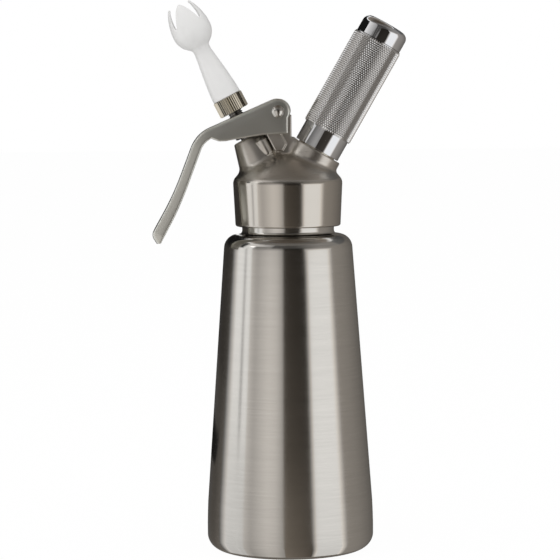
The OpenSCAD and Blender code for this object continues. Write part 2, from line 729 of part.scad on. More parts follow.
module piping_tip()
    color(white_plastic) on_valve_axis(ring_top) difference() {
        union() {
            rotate_extrude() nozzle_outline(0);
            translate([0, 0, -spigot_len]) tube(spigot_r, spigot_r - spigot_wall, spigot_len + 0.5);
        }
        rotate_extrude() intersection() {
            nozzle_outline(nozzle_wall);
            translate([0, 2]) square([bulb_d, nozzle_len]);
        }
        translate([0, 0, -1]) cylinder(r = stem_bore_d / 2 + 0.8, h = 5);
        // slots between the petals, with round bottoms
        for (turn = [45, 135]) rotate([90, 0, turn])
            linear_extrude(height = bulb_d + 4, center = true) {
                bottom = nozzle_len - slot_depth;
                translate([0, bottom + 0.9]) circle(r = 0.9);
                polygon([[-0.9, bottom + 0.9], [0.9, bottom + 0.9],
                         [3.2, nozzle_len + 1], [-3.2, nozzle_len + 1]]);
            }
    }

// ---- charger ----

module charger_outline(inset) {
    r = charger_d / 2;
    circle_r = r - inset;
    difference() {
        union() {
            translate([0, r + 8.7]) circle(r = circle_r);
            translate([0, charger_len - r]) circle(r = circle_r);
            translate([0, r + 8.7]) square([circle_r, charger_len - 2 * r - 8.7]);
        }
        translate([-charger_d, 0]) square([charger_d, charger_len + 1]);
    }
}

module charger()
    color(steel) on_holder_axis(charger_low) difference() {
        union() {
            rotate_extrude() charger_outline(0);
            cylinder(d = charger_neck_d, h = 12);
        }
        rotate_extrude() charger_outline(charger_wall);
        translate([0, 0, -1]) cylinder(r = piercer_d / 2 + 0.8, h = 14);
        translate([0, 0, -1]) cylinder(r = charger_neck_d / 2 - 1, h = 1.5);
    }

// The pierced sealing disc crimped in the charger's neck
module charger_seal_disc()
    color(nickel) on_holder_axis(charger_low + 0.02)
        tube(charger_neck_d / 2 - 1 - seat_clear, piercer_d / 2 + 0.3, 0.45);

// ---- holder ----

module holder_tube() {
    // inside thread, half a pitch above the stud's
    color(chrome) on_holder_axis(stud_thread_low + holder_pitch / 2)
        thread(holder_mouth_r, stud_root_r + 0.25, holder_pitch, holder_turns - 0.5);
    color(chrome) on_holder_axis(holder_gap) difference() {
        len_up = holder_len - holder_gap;
        cap_low = len_up - end_cap_h;
        union() {
            cylinder(d = holder_d, h = len_up - end_cap_round);
            translate([0, 0, cap_low]) rotate_extrude() {
                square([end_cap_d / 2 - end_cap_round, end_cap_h]);
                square([end_cap_d / 2, end_cap_h - end_cap_round]);
                translate([end_cap_d / 2 - end_cap_round, end_cap_h - end_cap_round])
                    intersection() {
                        circle(r = end_cap_round);
                        square(end_cap_round);
                    }
            }
        }
        translate([0, 0, -1]) cylinder(r = holder_mouth_r, h = holder_mouth_len + 1);
        translate([0, 0, -1]) cylinder(r = holder_bore_r, h = len_up - holder_end_t + 1);
    }
}

module grip_sleeve()
    color(chrome) on_holder_axis(base_band_h) rotate_extrude() {
        edge = 0.4;
        inner = holder_d / 2 + seat_clear;
        polygon([[inner, 0], [sleeve_d / 2 - edge, 0], [sleeve_d / 2, edge],
                 [sleeve_d / 2, sleeve_len - edge], [sleeve_d / 2 - edge, sleeve_len],
                 [inner, sleeve_len]]);
    }

module holder_cushion()
    color(white_plastic) on_holder_axis(cushion_low)
        cylinder(r = holder_bore_r - 0.1, h = cushion_t - 0.02);

bottle();
head_gasket();
head_casting();
valve_guide();
guide_o_ring();
valve_spring();
charger_stud();
stud_o_ring();
stud_nut();
piercing_pin();
charger_seal();
inlet_sleeve();
lever();
hinge_pin();
valve_stem();
poppet_seal();
press_collar();
tip_washer();
tip_ring();
piping_tip();
charger();
charger_seal_disc();
holder_tube();
grip_sleeve();
holder_cushion();
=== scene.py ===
# %% [markdown]
# # A cream whipper in steel, chrome and white plastic
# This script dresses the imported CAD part: a tapered bottle, a cast head with a squeeze
# lever, a slotted piping tip and a knurled charger holder. Everything is in metres in the
# part's own frame: the base's centre is the origin, +Z goes up the bottle, +X points to
# the charger holder and the viewer stands at -Y.

# %% Start
import json
import math

import bpy
import numpy as np
from mathutils import Matrix, Vector

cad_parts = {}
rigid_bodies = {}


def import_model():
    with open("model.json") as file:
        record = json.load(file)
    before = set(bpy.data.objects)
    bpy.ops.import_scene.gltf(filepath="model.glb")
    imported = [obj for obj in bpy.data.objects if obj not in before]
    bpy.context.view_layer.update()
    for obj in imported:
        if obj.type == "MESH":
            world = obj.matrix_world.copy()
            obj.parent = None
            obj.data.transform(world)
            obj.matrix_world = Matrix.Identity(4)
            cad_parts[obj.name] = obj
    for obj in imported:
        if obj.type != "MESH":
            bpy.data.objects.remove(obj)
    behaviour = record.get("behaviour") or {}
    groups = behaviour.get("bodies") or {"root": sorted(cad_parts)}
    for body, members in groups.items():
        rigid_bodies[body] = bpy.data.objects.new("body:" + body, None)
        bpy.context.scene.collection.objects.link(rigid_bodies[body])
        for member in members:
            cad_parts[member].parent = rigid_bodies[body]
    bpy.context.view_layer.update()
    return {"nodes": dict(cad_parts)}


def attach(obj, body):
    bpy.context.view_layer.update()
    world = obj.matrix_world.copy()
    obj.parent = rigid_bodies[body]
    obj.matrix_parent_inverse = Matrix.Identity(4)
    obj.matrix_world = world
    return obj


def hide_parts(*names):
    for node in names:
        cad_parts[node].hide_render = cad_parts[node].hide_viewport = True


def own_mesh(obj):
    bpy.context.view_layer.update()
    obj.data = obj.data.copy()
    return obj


for start_object in list(bpy.data.objects):
    bpy.data.objects.remove(start_object)
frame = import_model()
MM = 0.001

# %% [markdown]
# ## Named sizes
# The visual pieces share their sizes with the solids. All are in millimetres. The valve
# and the holder each have a leaning axis of their own that starts on the bottle's axis.

# %% Sizes
SKIRT_Z, SKIRT_TOP = 155.5, 177.2
SKIRT_R, SKIRT_TOP_R = 25.15, 26.2
DOME_R = 32.5
DOME_Z = SKIRT_TOP - math.sqrt(DOME_R ** 2 - SKIRT_TOP_R ** 2) + 0.2
VALVE_TILT, VALVE_Z = 27.4, SKIRT_Z + 6.4
HOLDER_TILT, HOLDER_Z = 30.0, SKIRT_Z + 12.1
BOSS_END = 27.7
PIN_T, PIN_S = 18.1, 45.1


def leaning(tilt, z, along=0.0):
    """Matrix of a frame whose Z leans by tilt degrees about Y, in millimetres."""
    return (Matrix.Translation((0, 0, z)) @ Matrix.Rotation(math.radians(tilt), 4, "Y")
            @ Matrix.Translation((0, 0, along)))


VALVE = leaning(-VALVE_TILT, VALVE_Z)
HOLDER = leaning(HOLDER_TILT, HOLDER_Z, BOSS_END)
UPRIGHT = Matrix.Identity(4)
pin = VALVE @ Vector((PIN_T, 0, PIN_S))
print("lever pin at x, z:", round(pin.x, 2), round(pin.z, 2))


def sin(a):
    return np.sin(np.radians(a))


def cos(a):
    return np.cos(np.radians(a))


# %% [markdown]
# ## Making meshes
# A piece is a plain mesh at the origin. A lathe turns a side outline round an axis. Faces
# that meet at more than the given angle keep a sharp edge.

# %% Mesh helpers
def piece(name, verts, faces, body, replaces=(), slot=None, sharp=35, at=UPRIGHT):
    """Makes a mesh object from points in millimetres and ties it to its CAD body."""
    mesh = bpy.data.meshes.new(name)
    points = np.asarray(verts, float).reshape(-1, 3)
    turn = np.array(at.to_3x3())
    points = (points @ turn.T + np.array(at.translation)) * MM
    mesh.from_pydata(points.tolist(), [], [list(f) for f in faces])
    mesh.validate()
    mesh.shade_smooth()
    if sharp:
        mesh.set_sharp_from_angle(angle=math.radians(sharp))
    obj = bpy.data.objects.new(name, mesh)
    bpy.context.scene.collection.objects.link(obj)
    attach(obj, body)
    if replaces:
        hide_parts(*replaces)
    return obj


def lathe(outline, around=128, closed=True):
    """Points and faces of an outline of radius and height turned round Z."""
    outline = [(max(r, 0.0), z) for r, z in outline]
    verts, rings = [], []
    for r, z in outline:
        if r < 1e-6:
            rings.append([len(verts)] * around)
            verts.append((0.0, 0.0, z))
        else:
            rings.append(list(range(len(verts), len(verts) + around)))
            verts += [(r * cos(360 * k / around), r * sin(360 * k / around), z)
                      for k in range(around)]
    faces = []
    count = len(rings)
    for i in range(count if closed else count - 1):
        a, b = rings[i], rings[(i + 1) % count]
        for k in range(around):
            m = (k + 1) % around
            quad = [a[k], a[m], b[m], b[k]]
            quad = [v for j, v in enumerate(quad) if v != quad[j - 1]]
            if len(quad) > 2:
                faces.append(quad)
    return verts, faces


def arc(cx, cz, r, start, end, steps):
    """Points of an arc in the outline's plane, angles in degrees."""
    return [(cx + r * cos(start + (end - start) * i / steps),
             cz + r * sin(start + (end - start) * i / steps)) for i in range(steps + 1)]


def merged(*parts):
    """Several (points, faces) pairs as one."""
    verts, faces = [], []
    for v, f in parts:
        base = len(verts)
        verts += [tuple(p) for p in v]
        faces += [[base + i for i in face] for face in f]
    return verts, faces


def helix(root, crest, pitch, z0, turns, foot, top, steps=48):
    """A thread ridge that fades in and out at its ends; crest above or below root."""
    out = 1 if crest > root else -1
    count = int(turns * steps)
    verts, faces = [], []
    for i in range(count + 1):
        fade = min(1.0, i / (steps * 0.18), (count - i) / (steps * 0.18))
        edge = root + (crest - root) * fade
        a, z = 360 * i / steps, z0 + pitch * i / steps
        for r, dz in ((root - 0.2 * out, -foot / 2), (edge, -top / 2),
                      (edge, top / 2), (root - 0.2 * out, foot / 2)):
            verts.append((r * cos(a), r * sin(a), z + dz))
    for i in range(count):
        for j in range(4):
            k = (j + 1) % 4
            quad = [4 * i + j, 4 * i + 4 + j, 4 * i + 4 + k, 4 * i + k]
            faces.append(quad if out > 0 else quad[::-1])
    ends = [[0, 1, 2, 3], [4 * count + 3, 4 * count + 2, 4 * count + 1, 4 * count]]
    return verts, faces + [e if out > 0 else e[::-1] for e in ends]


print("helpers ready")

# %% [markdown]
# ## Shader maths
# A Field wraps a shader socket, so that a surface's look can be written as an expression.

# %% Shader helper
class Field:
    def __init__(self, tree, socket):
        self.tree, self.socket = tree, socket

    def node(self, kind, settings=None, out=0, **inputs):
        """Adds any node; settings are set first, then values or links by socket name."""
        made = self.tree.nodes.new(kind)
        for key, value in (settings or {}).items():
            setattr(made, key, value)
        for key, value in inputs.items():
            at = int(key[1:]) if key[0] == "i" and key[1:].isdigit() else key.replace("_", " ")
            if isinstance(value, Field):
                self.tree.links.new(value.socket, made.inputs[at])
            else:
                made.inputs[at].default_value = value
        return Field(self.tree, made.outputs[out])

    def maths(self, operation, a, b=0.0):
        return self.node("ShaderNodeMath", {"operation": operation}, i0=a, i1=b)

    def __add__(self, o): return self.maths("ADD", self, o)
    def __radd__(self, o): return self.maths("ADD", o, self)
    def __sub__(self, o): return self.maths("SUBTRACT", self, o)
    def __mul__(self, o): return self.maths("MULTIPLY", self, o)
    def __rmul__(self, o): return self.maths("MULTIPLY", o, self)
    def __truediv__(self, o): return self.maths("DIVIDE", self, o)
    def __pow__(self, o): return self.maths("POWER", self, o)

    def step(self, low, high):
        """0 below low, 1 above high, smooth between."""
        return self.node("ShaderNodeMapRange", {"interpolation_type": "SMOOTHSTEP"},
                         Value=self, From_Min=low, From_Max=high, To_Min=0.0, To_Max=1.0)

    def noise(self, scale, detail=2.0, rough=0.5):
        return self.node("ShaderNodeTexNoise", {"noise_dimensions": "3D"}, Vector=self,
                         Scale=scale, Detail=detail, Roughness=rough)


class Look:
    """A material on a Principled shader."""

    def __init__(self, name, **values):
        self.material = bpy.data.materials.new(name)
        self.material.use_nodes = True
        tree = self.material.node_tree
        self.shader = tree.nodes["Principled BSDF"]
        self.tree = tree
        for key, value in values.items():
            self.shader.inputs[key.replace("_", " ")].default_value = value
        place = tree.nodes.new("ShaderNodeTexCoord")
        self.at = Field(tree, place.outputs["Object"])

    def drive(self, **fields):
        """Links fields to the shader's inputs."""
        for key, field in fields.items():
            self.tree.links.new(field.socket, self.shader.inputs[key.replace("_", " ")])
        return self

    def bump(self, height, strength, distance):
        """Small relief from a height field, distance in metres."""
        self.drive(Normal=self.at.node("ShaderNodeBump", Strength=strength, Distance=distance,
                                       Height=height))
        return self

    def parts(self, matrix):
        """x, y, z and radius in millimetres in the frame of a leaning axis."""
        inverse = matrix.inverted()
        rows = [tuple(r) for r in inverse]
        xyz = []
        for row in rows[:3]:
            dot = self.at.node("ShaderNodeVectorMath", {"operation": "DOT_PRODUCT"}, out=1,
                               i0=self.at, i1=tuple(v * 1000 for v in row[:3]))
            xyz.append(dot + row[3])
        radius = (xyz[0] * xyz[0] + xyz[1] * xyz[1]) ** 0.5
        return xyz + [radius]

    def vector(self, x, y, z):
        return self.at.node("ShaderNodeCombineXYZ", X=x, Y=y, Z=z)


print("shader helper ready")

# %% [markdown]
# ## Cast and pressed forms
# The head, the lever and the tip blend into themselves with rounds. Each is written as a
# distance in millimetres, below zero inside, and turned into a mesh on a fine grid whose
# points are then moved onto the surface.

# %% Distance helpers
def outline_distance(points, x, z):
    """Signed distance from x, z to a closed outline, below zero inside."""
    near = np.full(x.shape, 1e9)
    odd = np.zeros(x.shape, bool)
    count = len(points)
    for i in range(count):
        (ax, az), (bx, bz) = points[i], points[(i + 1) % count]
        ex, ez = bx - ax, bz - az
        dx, dz = x - ax, z - az
        t = np.clip((dx * ex + dz * ez) / (ex * ex + ez * ez + 1e-12), 0, 1)
        near = np.minimum(near, (dx - t * ex) ** 2 + (dz - t * ez) ** 2)
        if az != bz:
            odd ^= ((az > z) != (bz > z)) & (dx < ex * dz / ez)
    return np.where(odd, -1, 1) * np.sqrt(near)


def blend(a, b, k):
    """Union with a fillet of about k."""
    h = np.clip(k - np.abs(a - b), 0, None) / k
    return np.minimum(a, b) - h * h * k / 4


def common(a, b, r):
    """Intersection with a rounded edge of radius r."""
    return np.minimum(np.maximum(a, b), -r) + np.hypot(np.clip(a + r, 0, None),
                                                      np.clip(b + r, 0, None))


def cut(a, b, r):
    """a without b, its new edge rounded by r."""
    return common(a, -b, r)


def local(points, matrix):
    """x, y, z and radius of points in a leaning frame."""
    inverse = np.array(matrix.inverted())
    q = points @ inverse[:3, :3].T + inverse[:3, 3]
    return q[:, 0], q[:, 1], q[:, 2], np.hypot(q[:, 0], q[:, 1])


def grown(field, low, high, cell):
    """Mesh of a distance field's zero surface: points, faces and normals."""
    axes = [np.arange(a, b + cell, cell) for a, b in zip(low, high)]
    shape = tuple(len(a) for a in axes)
    grid = np.stack(np.meshgrid(*axes, indexing="ij"), -1).reshape(-1, 3)
    value = np.concatenate([field(part) for part in np.array_split(grid, 12)]).reshape(shape)
    inside = value < 0
    small = tuple(n - 1 for n in shape)
    total, count = np.zeros(small + (3,)), np.zeros(small)
    corners = [(i, j, k) for i in (0, 1) for j in (0, 1) for k in (0, 1)]
    part = lambda array, c: array[c[0]:c[0] + small[0], c[1]:c[1] + small[1],
                                  c[2]:c[2] + small[2]]
    for c in corners:
        for axis in range(3):
            if c[axis]:
                continue
            d = tuple(1 if i == axis else c[i] for i in range(3))
            va, vb = part(value, c), part(value, d)
            crossed = (va < 0) != (vb < 0)
            t = np.where(crossed, va / np.where(crossed, va - vb, 1), 0)
            place = np.stack(np.broadcast_arrays(*[np.asarray(c[i], float) for i in range(3)]), -1)
            spot = np.zeros(small + (3,)) + place
            spot[..., axis] = t
            total += spot * crossed[..., None]
            count += crossed
    used = count > 0
    index = np.full(small, -1)
    index[used] = np.arange(used.sum())
    base = np.stack(np.nonzero(used), -1)
    points = (base + total[used] / count[used][:, None]) * cell + np.array(low)

    def slope(p):
        step = 0.01
        return np.stack([(field(p + step * e) - field(p - step * e)) / (2 * step)
                         for e in np.eye(3)], -1)

    for _ in range(4):
        g = slope(points)
        move = (field(points) / np.maximum(np.sum(g * g, 1), 0.2))[:, None] * g
        points -= np.clip(move, -cell / 2, cell / 2)
    faces = []
    for axis in range(3):
        a, b = (axis + 1) % 3, (axis + 2) % 3
        lo = [slice(None)] * 3
        hi = [slice(None)] * 3
        lo[axis], hi[axis] = slice(0, -1), slice(1, None)
        first, second = inside[tuple(lo)], inside[tuple(hi)]
        where = np.stack(np.nonzero(first != second), -1)
        where = where[(where[:, a] > 0) & (where[:, b] > 0)
                      & (where[:, a] < shape[a] - 1) & (where[:, b] < shape[b] - 1)]
        flip = first[tuple(where.T)]
        ring = []
        for da, db in ((-1, -1), (0, -1), (0, 0), (-1, 0)):
            c = where.copy()
            c[:, a] += da
            c[:, b] += db
            ring.append(index[tuple(c.T)])
        quads = np.stack(ring, -1)
        quads[~flip] = quads[~flip][:, ::-1]
        faces.append(quads)
    normals = slope(points)
    normals /= np.linalg.norm(normals, axis=1)[:, None]
    return points, np.concatenate(faces), normals


def grown_piece(name, field, low, high, cell, body, replaces, slot, at=UPRIGHT):
    """A piece grown from a field that is written in the frame at."""
    points, faces, normals = grown(field, low, high, cell)
    obj = piece(name, points, faces.tolist(), body, replaces, slot, sharp=0, at=at)
    turned = normals @ np.array(at.to_3x3()).T
    obj.data.normals_split_custom_set_from_vertices(turned.tolist())
    print(name, len(faces) * 2, "triangles")
    return obj


print("distance helpers ready")

# %% [markdown]
# ## The head
# One casting: skirt and dome, a coned boss for the valve, a round boss for the charger, and
# the block that carries the lever's pin, with a rib on each side of the valve.

# %% Head casting
# valve boss: radius and height of its top and of its foot, along the valve's axis
BOSS_R, BOSS_TOP, BOSS_FOOT_R, BOSS_FOOT = 7.7, 40.6, 11, 28.4
STAND_R, CAVITY_WALL, EYE_R = 12.9, 3.2, 4.5


def beside_valve(t, s):
    at = VALVE @ Vector((t, 0, s))
    return at.x, at.z


def head_field(p):
    x, y, z = p[:, 0], p[:, 1], p[:, 2]
    r = np.hypot(x, y)
    dome = np.sqrt(r * r + (z - DOME_Z) ** 2) - DOME_R
    lean = (SKIRT_TOP_R - SKIRT_R) / (SKIRT_TOP - SKIRT_Z)
    side = (r - SKIRT_R - lean * (z - SKIRT_Z)) / math.hypot(1, lean)
    body = common(dome, side, 1.0)
    # bosses
    vx, vy, vs, vr = local(p, VALVE)
    flare = (BOSS_FOOT_R - BOSS_R) / (BOSS_TOP - BOSS_FOOT)
    boss = (vr - BOSS_R - flare * (BOSS_TOP - vs)) / math.hypot(1, flare)
    boss = common(common(boss, vs - BOSS_TOP, 0.7), 20 - vs, 0.5)
    _, _, hh, hr = local(p, HOLDER)
    stand = common(common(hr - STAND_R, hh, 0.7), -12 - hh, 0.5)
    # bearing block, its web and its ribs
    block = outline_distance([
        beside_valve(8.2, 29.2), beside_valve(8.2, PIN_S - 4.2),
        beside_valve(PIN_T - EYE_R * 0.82, PIN_S + EYE_R * 0.57), (pin.x, pin.z + 1),
        (pin.x + EYE_R - 0.2, pin.z - 1.5), (pin.x + 1.4, pin.z - 10.8),
        (pin.x + 3.9, pin.z - 15.3), (pin.x + 2.1, pin.z - 18.4)], x, z)
    block = blend(block, np.hypot(x - pin.x, z - pin.z) - EYE_R, 0.8)
    block = common(block, np.abs(y) - 10.4, 0.5)
    back = pin.x + 6.5
    web = outline_distance([
        beside_valve(9.2, 20), beside_valve(9.2, 33), (pin.x, pin.z),
        (pin.x + EYE_R - 0.2, pin.z - 1.5), (back, pin.z - 1.5), (back, pin.z - 12),
        (back + 1.5, pin.z - 13.2), (back + 4, pin.z - 20), (back, pin.z - 27)], x, z)
    web = common(web, np.abs(y) - 7.2, 0.8)
    rib_top = 38.5
    rib_r = 2.8 - 0.9 * np.clip(vs - rib_top + 1.8, 0, None)
    rib = np.hypot(vx - 4.8, np.abs(vy) - 7.6) - rib_r
    rib = common(common(rib, vs - rib_top, 0.4), 29.2 - vs, 0.4)
    solid = blend(body, boss, 2.0)
    solid = blend(solid, stand, 1.8)
    solid = blend(solid, web, 1.6)
    solid = blend(solid, block, 0.7)
    solid = blend(solid, rib, 0.6)
    solid = common(solid, SKIRT_Z - z, 1.0)
    # hollows
    bore = common(r - 23.15, z - 174.5, 0.4)
    cavity = np.maximum(np.sqrt(r * r + (z - DOME_Z) ** 2) - DOME_R + CAVITY_WALL,
                        np.maximum(r - 19.8, 172 - z))
    solid = cut(solid, np.minimum(bore, cavity), 0.4)
    well = np.maximum(vr - 6.52, 32.3 - vs)
    guide = np.maximum(vr - 5.62, np.maximum(18.5 - vs, vs - 34))
    solid = cut(solid, np.minimum(well, guide), 0.3)
    shank = np.maximum(hr - 6.02, -14 - hh)
    groove = np.maximum(hr - 8.2, -1.5 - hh)
    seat = np.maximum(hr - 8.9, np.maximum(-9.6 - hh, hh + 6.68))
    solid = cut(solid, np.minimum(np.minimum(shank, groove), seat), 0.2)
    return cut(solid, np.hypot(x - pin.x, z - pin.z) - 2.05, 0.3)


grown_piece("head_body", head_field, (-28, -27.2, 154.3), (27.2, 27.2, 217), 0.5,
            "head", ["head_casting"], "satin_casting")

# %% [markdown]
# ## The lever
# Pressed from 1.2 mm sheet: a plate that wraps round the pin, two side walls, a bend, a
# slightly curved handle and a toe. Its outside edges are rounded by the press.

# %% Lever
SHEET, WIDE = 1.2, 24.0
SLOPE, WRAP_TURN = 23.6, 113.6
WRAP_R, PLATE_LEN, BEND_R, BEND, CURVE_R = 6.1, 33.0, 16.5, 45.4, 150.0
PLATE_DIR = 180 + SLOPE
HANDLE_DIR = PLATE_DIR + BEND
CURVE_TURN = math.degrees(22 / CURVE_R)
LAST_DIR = HANDLE_DIR - CURVE_TURN
TOE_R, TOE_TURN = 4.2, 62.0


def way(angle):
    return np.array((cos(angle), sin(angle)))


PIN = np.array((pin.x, pin.z))
bend_start = PIN + WRAP_R * way(PLATE_DIR - 90) + PLATE_LEN * way(PLATE_DIR)
bend_c = bend_start + BEND_R * way(PLATE_DIR + 90)
curve_start = bend_c + BEND_R * way(HANDLE_DIR - 90) + 13 * way(HANDLE_DIR)
curve_c = curve_start + CURVE_R * way(HANDLE_DIR - 90)
toe_start = curve_c - CURVE_R * way(LAST_DIR - 90) + 8 * way(LAST_DIR)
toe_c = toe_start + TOE_R * way(LAST_DIR + 90)


def turned_arc(centre, r, start, turn, n):
    return [centre + r * way(start + turn * i / n) for i in range(n + 1)]


wrap = turned_arc(PIN, WRAP_R, 0, WRAP_TURN, 24)
bend = turned_arc(bend_c, BEND_R, PLATE_DIR - 90, BEND, 16)
curve = turned_arc(curve_c, CURVE_R, HANDLE_DIR + 90, -CURVE_TURN, 10)
toe = turned_arc(toe_c, TOE_R, LAST_DIR - 90, TOE_TURN, 8)
toe_end = toe[-1] + 2.7 * way(LAST_DIR + TOE_TURN)
# side wall's free edge, from the toe up to the ears
line = bend[1:] + curve
rim = []
for i in range(len(line) - 2, 0, -1):
    along = line[i + 1] - line[i - 1]
    depth = 5 + 0.9 * (i / (len(line) - 2)) ** 3
    rim.append(line[i] + depth * np.array((-along[1], along[0])) / np.linalg.norm(along))
ears = [(31.5, 1.6), (28.5, 2.8), (26, 3.4), (21, 4.6), (11, 7.3), (-0.3, 11.6)]
rim += [PIN + d * way(PLATE_DIR) + e * way(PLATE_DIR - 270) for d, e in ears]


def lever_field(p):
    x, y, z = p[:, 0], p[:, 1], p[:, 2]
    far = [toe_end + 25 * way(LAST_DIR + TOE_TURN), np.array((60.0, 90.0))]
    skin = outline_distance([PIN + (WRAP_R, -40)] + wrap + bend + curve + toe + [toe_end]
                            + far, x, z)
    # the walls flare a little below the plate
    side = np.abs(y) - WIDE / 2 + 0.07 * (4 + skin + np.hypot(4 + skin, 1.5))
    outer = common(skin, side, 1.5)
    inner = common(skin + SHEET, side + SHEET, 0.6)
    tip = turned_arc(toe_end + 1.1 * way(LAST_DIR + TOE_TURN + 90), 1.1,
                     LAST_DIR + TOE_TURN - 60, 110, 6)
    edge = outline_distance([toe_end + (-30, 10), toe_end + (-3, -2)] + tip + rim
                            + [PIN + (WRAP_R - SHEET, -3), PIN + (WRAP_R, -1),
                               PIN + (25, 0), PIN + (10, 30), PIN + (-60, 20)], x, z)
    shape = common(cut(outer, inner, 0.25), edge, 1.0)
    _, _, hs, hr = local(p, PLATE_HOLE)
    shape = cut(shape, np.maximum(hr - 4.8, -hs), 0.3)
    return cut(shape, np.hypot(x - pin.x, z - pin.z) - 2.02, 0.1)


PLATE_HOLE = leaning(-VALVE_TILT, VALVE_Z, PIN_S) @ Matrix.Rotation(
    math.radians(VALVE_TILT - SLOPE), 4, "Y")
grown_piece("lever_body", lever_field, (-66, -12.8, 148), (3, 12.8, 218), 0.38,
            "lever", ["lever"], "satin_sheet")

# %% [markdown]
# ## The piping tip
# A white spout that narrows, swells into a bulb and ends in four petals with slots between.

# %% Piping tip
RING_LOW = 54.51
RING_TOP = RING_LOW + 7.8
TIP = leaning(-VALVE_TILT, VALVE_Z, RING_TOP)
BULB_R, BULB_Z, NECK_TIP_R, TIP_LEN, PETAL_R = 9.5, 35.5, 4.2, 49.4, 25.5


def tip_outline(inset):
    bulb, neck = BULB_R - inset, NECK_TIP_R - inset
    hollow = 2.5 + inset
    hx = neck + hollow
    hz = BULB_Z - math.sqrt((bulb + hollow) ** 2 - hx ** 2)
    touch = math.degrees(math.atan2(BULB_Z - hz, hx))
    points = [(7 - inset, -1), (7 - inset, 0), (6.7 - inset, 5), (5.9 - inset, 12),
              (neck, 24)]
    points += arc(hx, hz, hollow, 180, 180 - touch, 6)
    points += arc(0, BULB_Z, bulb, -touch, 0, 8)[1:]
    top = math.degrees(math.asin((TIP_LEN - BULB_Z + inset) / PETAL_R))
    points += arc(BULB_R - PETAL_R - inset, BULB_Z, PETAL_R, 0, top, 8)[1:]
    return points + [(0, points[-1][1]), (0, -1)]


def tip_field(p):
    x, y, z = p[:, 0], p[:, 1], p[:, 2]
    r = np.hypot(x, y)
    outer = common(outline_distance(tip_outline(0), r, z), -z, 0.3)
    inner = np.maximum(outline_distance(tip_outline(1.3), r, z), 2 - z)
    shape = cut(outer, np.minimum(inner, np.maximum(r - 2.9, z - 3)), 0.2)
    spigot = common(common(r - 6.4, 5.05 - r, 0.2), -3.9 - z, 0.2)
    shape = np.minimum(shape, np.maximum(spigot, z - 1))
    bottom = 39.4
    slot = [(-0.9, bottom + 0.9)] + arc(0, bottom + 0.9, 0.9, 180, 360, 8)[1:-1] + [
        (0.9, bottom + 0.9), (2.6, 47.3), (3.3, 49.0), (5.5, 50.2), (-5.5, 50.2),
        (-3.3, 49.0), (-2.6, 47.3)]
    for turn in (45, 135):
        across = x * cos(turn) + y * sin(turn)
        shape = cut(shape, outline_distance(slot, across, z), 0.4)
    return common(shape, z - TIP_LEN, 0.4)


grown_piece("tip_body", tip_field, (-10, -10, -4.6), (10, 10, 50.2), 0.4,
            "tip", ["piping_tip"], "white_plastic", at=TIP)

# %% [markdown]
# ## The bottle
# Spun steel: a rounded base, a straight taper, a round shoulder and a threaded neck.

# %% Bottle
BOTTLE_R, WIDEST_Z, ROUND_R = 40, 12, 6.7
SHOULDER_Z, SHOULDER_R, NECK_R, NECK_TOP = 145.0, 30.8, 22.0, 171.7
taper = math.degrees(math.atan((BOTTLE_R - SHOULDER_R) / (SHOULDER_Z - WIDEST_Z)))


def bottle_skin(inset):
    """Side line from the base's centre up to the shoulder's foot on the neck."""
    top_r = SHOULDER_R - ROUND_R
    foot = arc(32.9, 7.1, 7.1 - inset, -90, -4, 14)
    line = [(BOTTLE_R - inset, WIDEST_Z), (39.88 - inset, 17), (39.65 - inset, 23)]
    top = arc(top_r, SHOULDER_Z, ROUND_R - inset, taper, 90, 16)
    steps = 12
    run = [(line[-1][0] + (top[0][0] - line[-1][0]) * i / steps,
            line[-1][1] + (top[0][1] - line[-1][1]) * i / steps) for i in range(1, steps)]
    return foot + line + run + top


skin = [(0, 0), (20, 0)] + bottle_skin(0) + arc(NECK_R + 1.8, 153.5, 1.8, -90, -180, 7)
skin += [(NECK_R, 160), (NECK_R, NECK_TOP - 0.5)]
skin += arc(NECK_R - 0.5, NECK_TOP - 0.5, 0.5, 0, 90, 4)
skin += arc(20.4, NECK_TOP - 0.5, 0.5, 90, 180, 4) + [(19.9, 152)]
skin += [(19.9, 150.9)] + bottle_skin(1)[::-1] + [(20, 1), (0, 1)]
skin = [q for i, q in enumerate(skin) if i == 0 or q != skin[i - 1]]
piece("bottle_body", *merged(lathe(skin, 192, closed=False),
                             helix(NECK_R, NECK_R + 0.75, 4, 159.1, 2.5, 1.8, 0.9)),
      "bottle", ["bottle"], "brushed_steel")

# %% [markdown]
# ## Turned pieces
# The pin, the stem with its collar, the stud, the charger and the holder are all turned, so
# each is an outline that runs up the outside and back down the inside.

# %% Turned pieces
def turned(name, outline, body, node, slot, at, around=96, extra=(), closed=True, sharp=35):
    shape = merged(lathe(outline, around, closed), *extra)
    return piece(name, *shape, body, [node], slot, sharp, at)


# hinge pin across the lever, with a domed head at each side
head_r = (2.9 ** 2 + 1.7 ** 2) / 3.4
rise = math.degrees(math.asin(2.7 / head_r))
dome = [(head_r * sin(a), 12.02 + 1.7 - head_r + head_r * cos(a))
        for a in np.linspace(rise, 0, 10)]
half = [(2, 12.02), (2.75, 12.02), (2.9, 12.15)] + dome
PIN_AXIS = Matrix.Translation((pin.x, 0, pin.z)) @ Matrix.Rotation(math.pi / 2, 4, "X")
turned("hinge_rivet", [(r, -z) for r, z in half[::-1]] + half, "lever", "hinge_pin",
       "brushed_steel", PIN_AXIS, 64, closed=False)

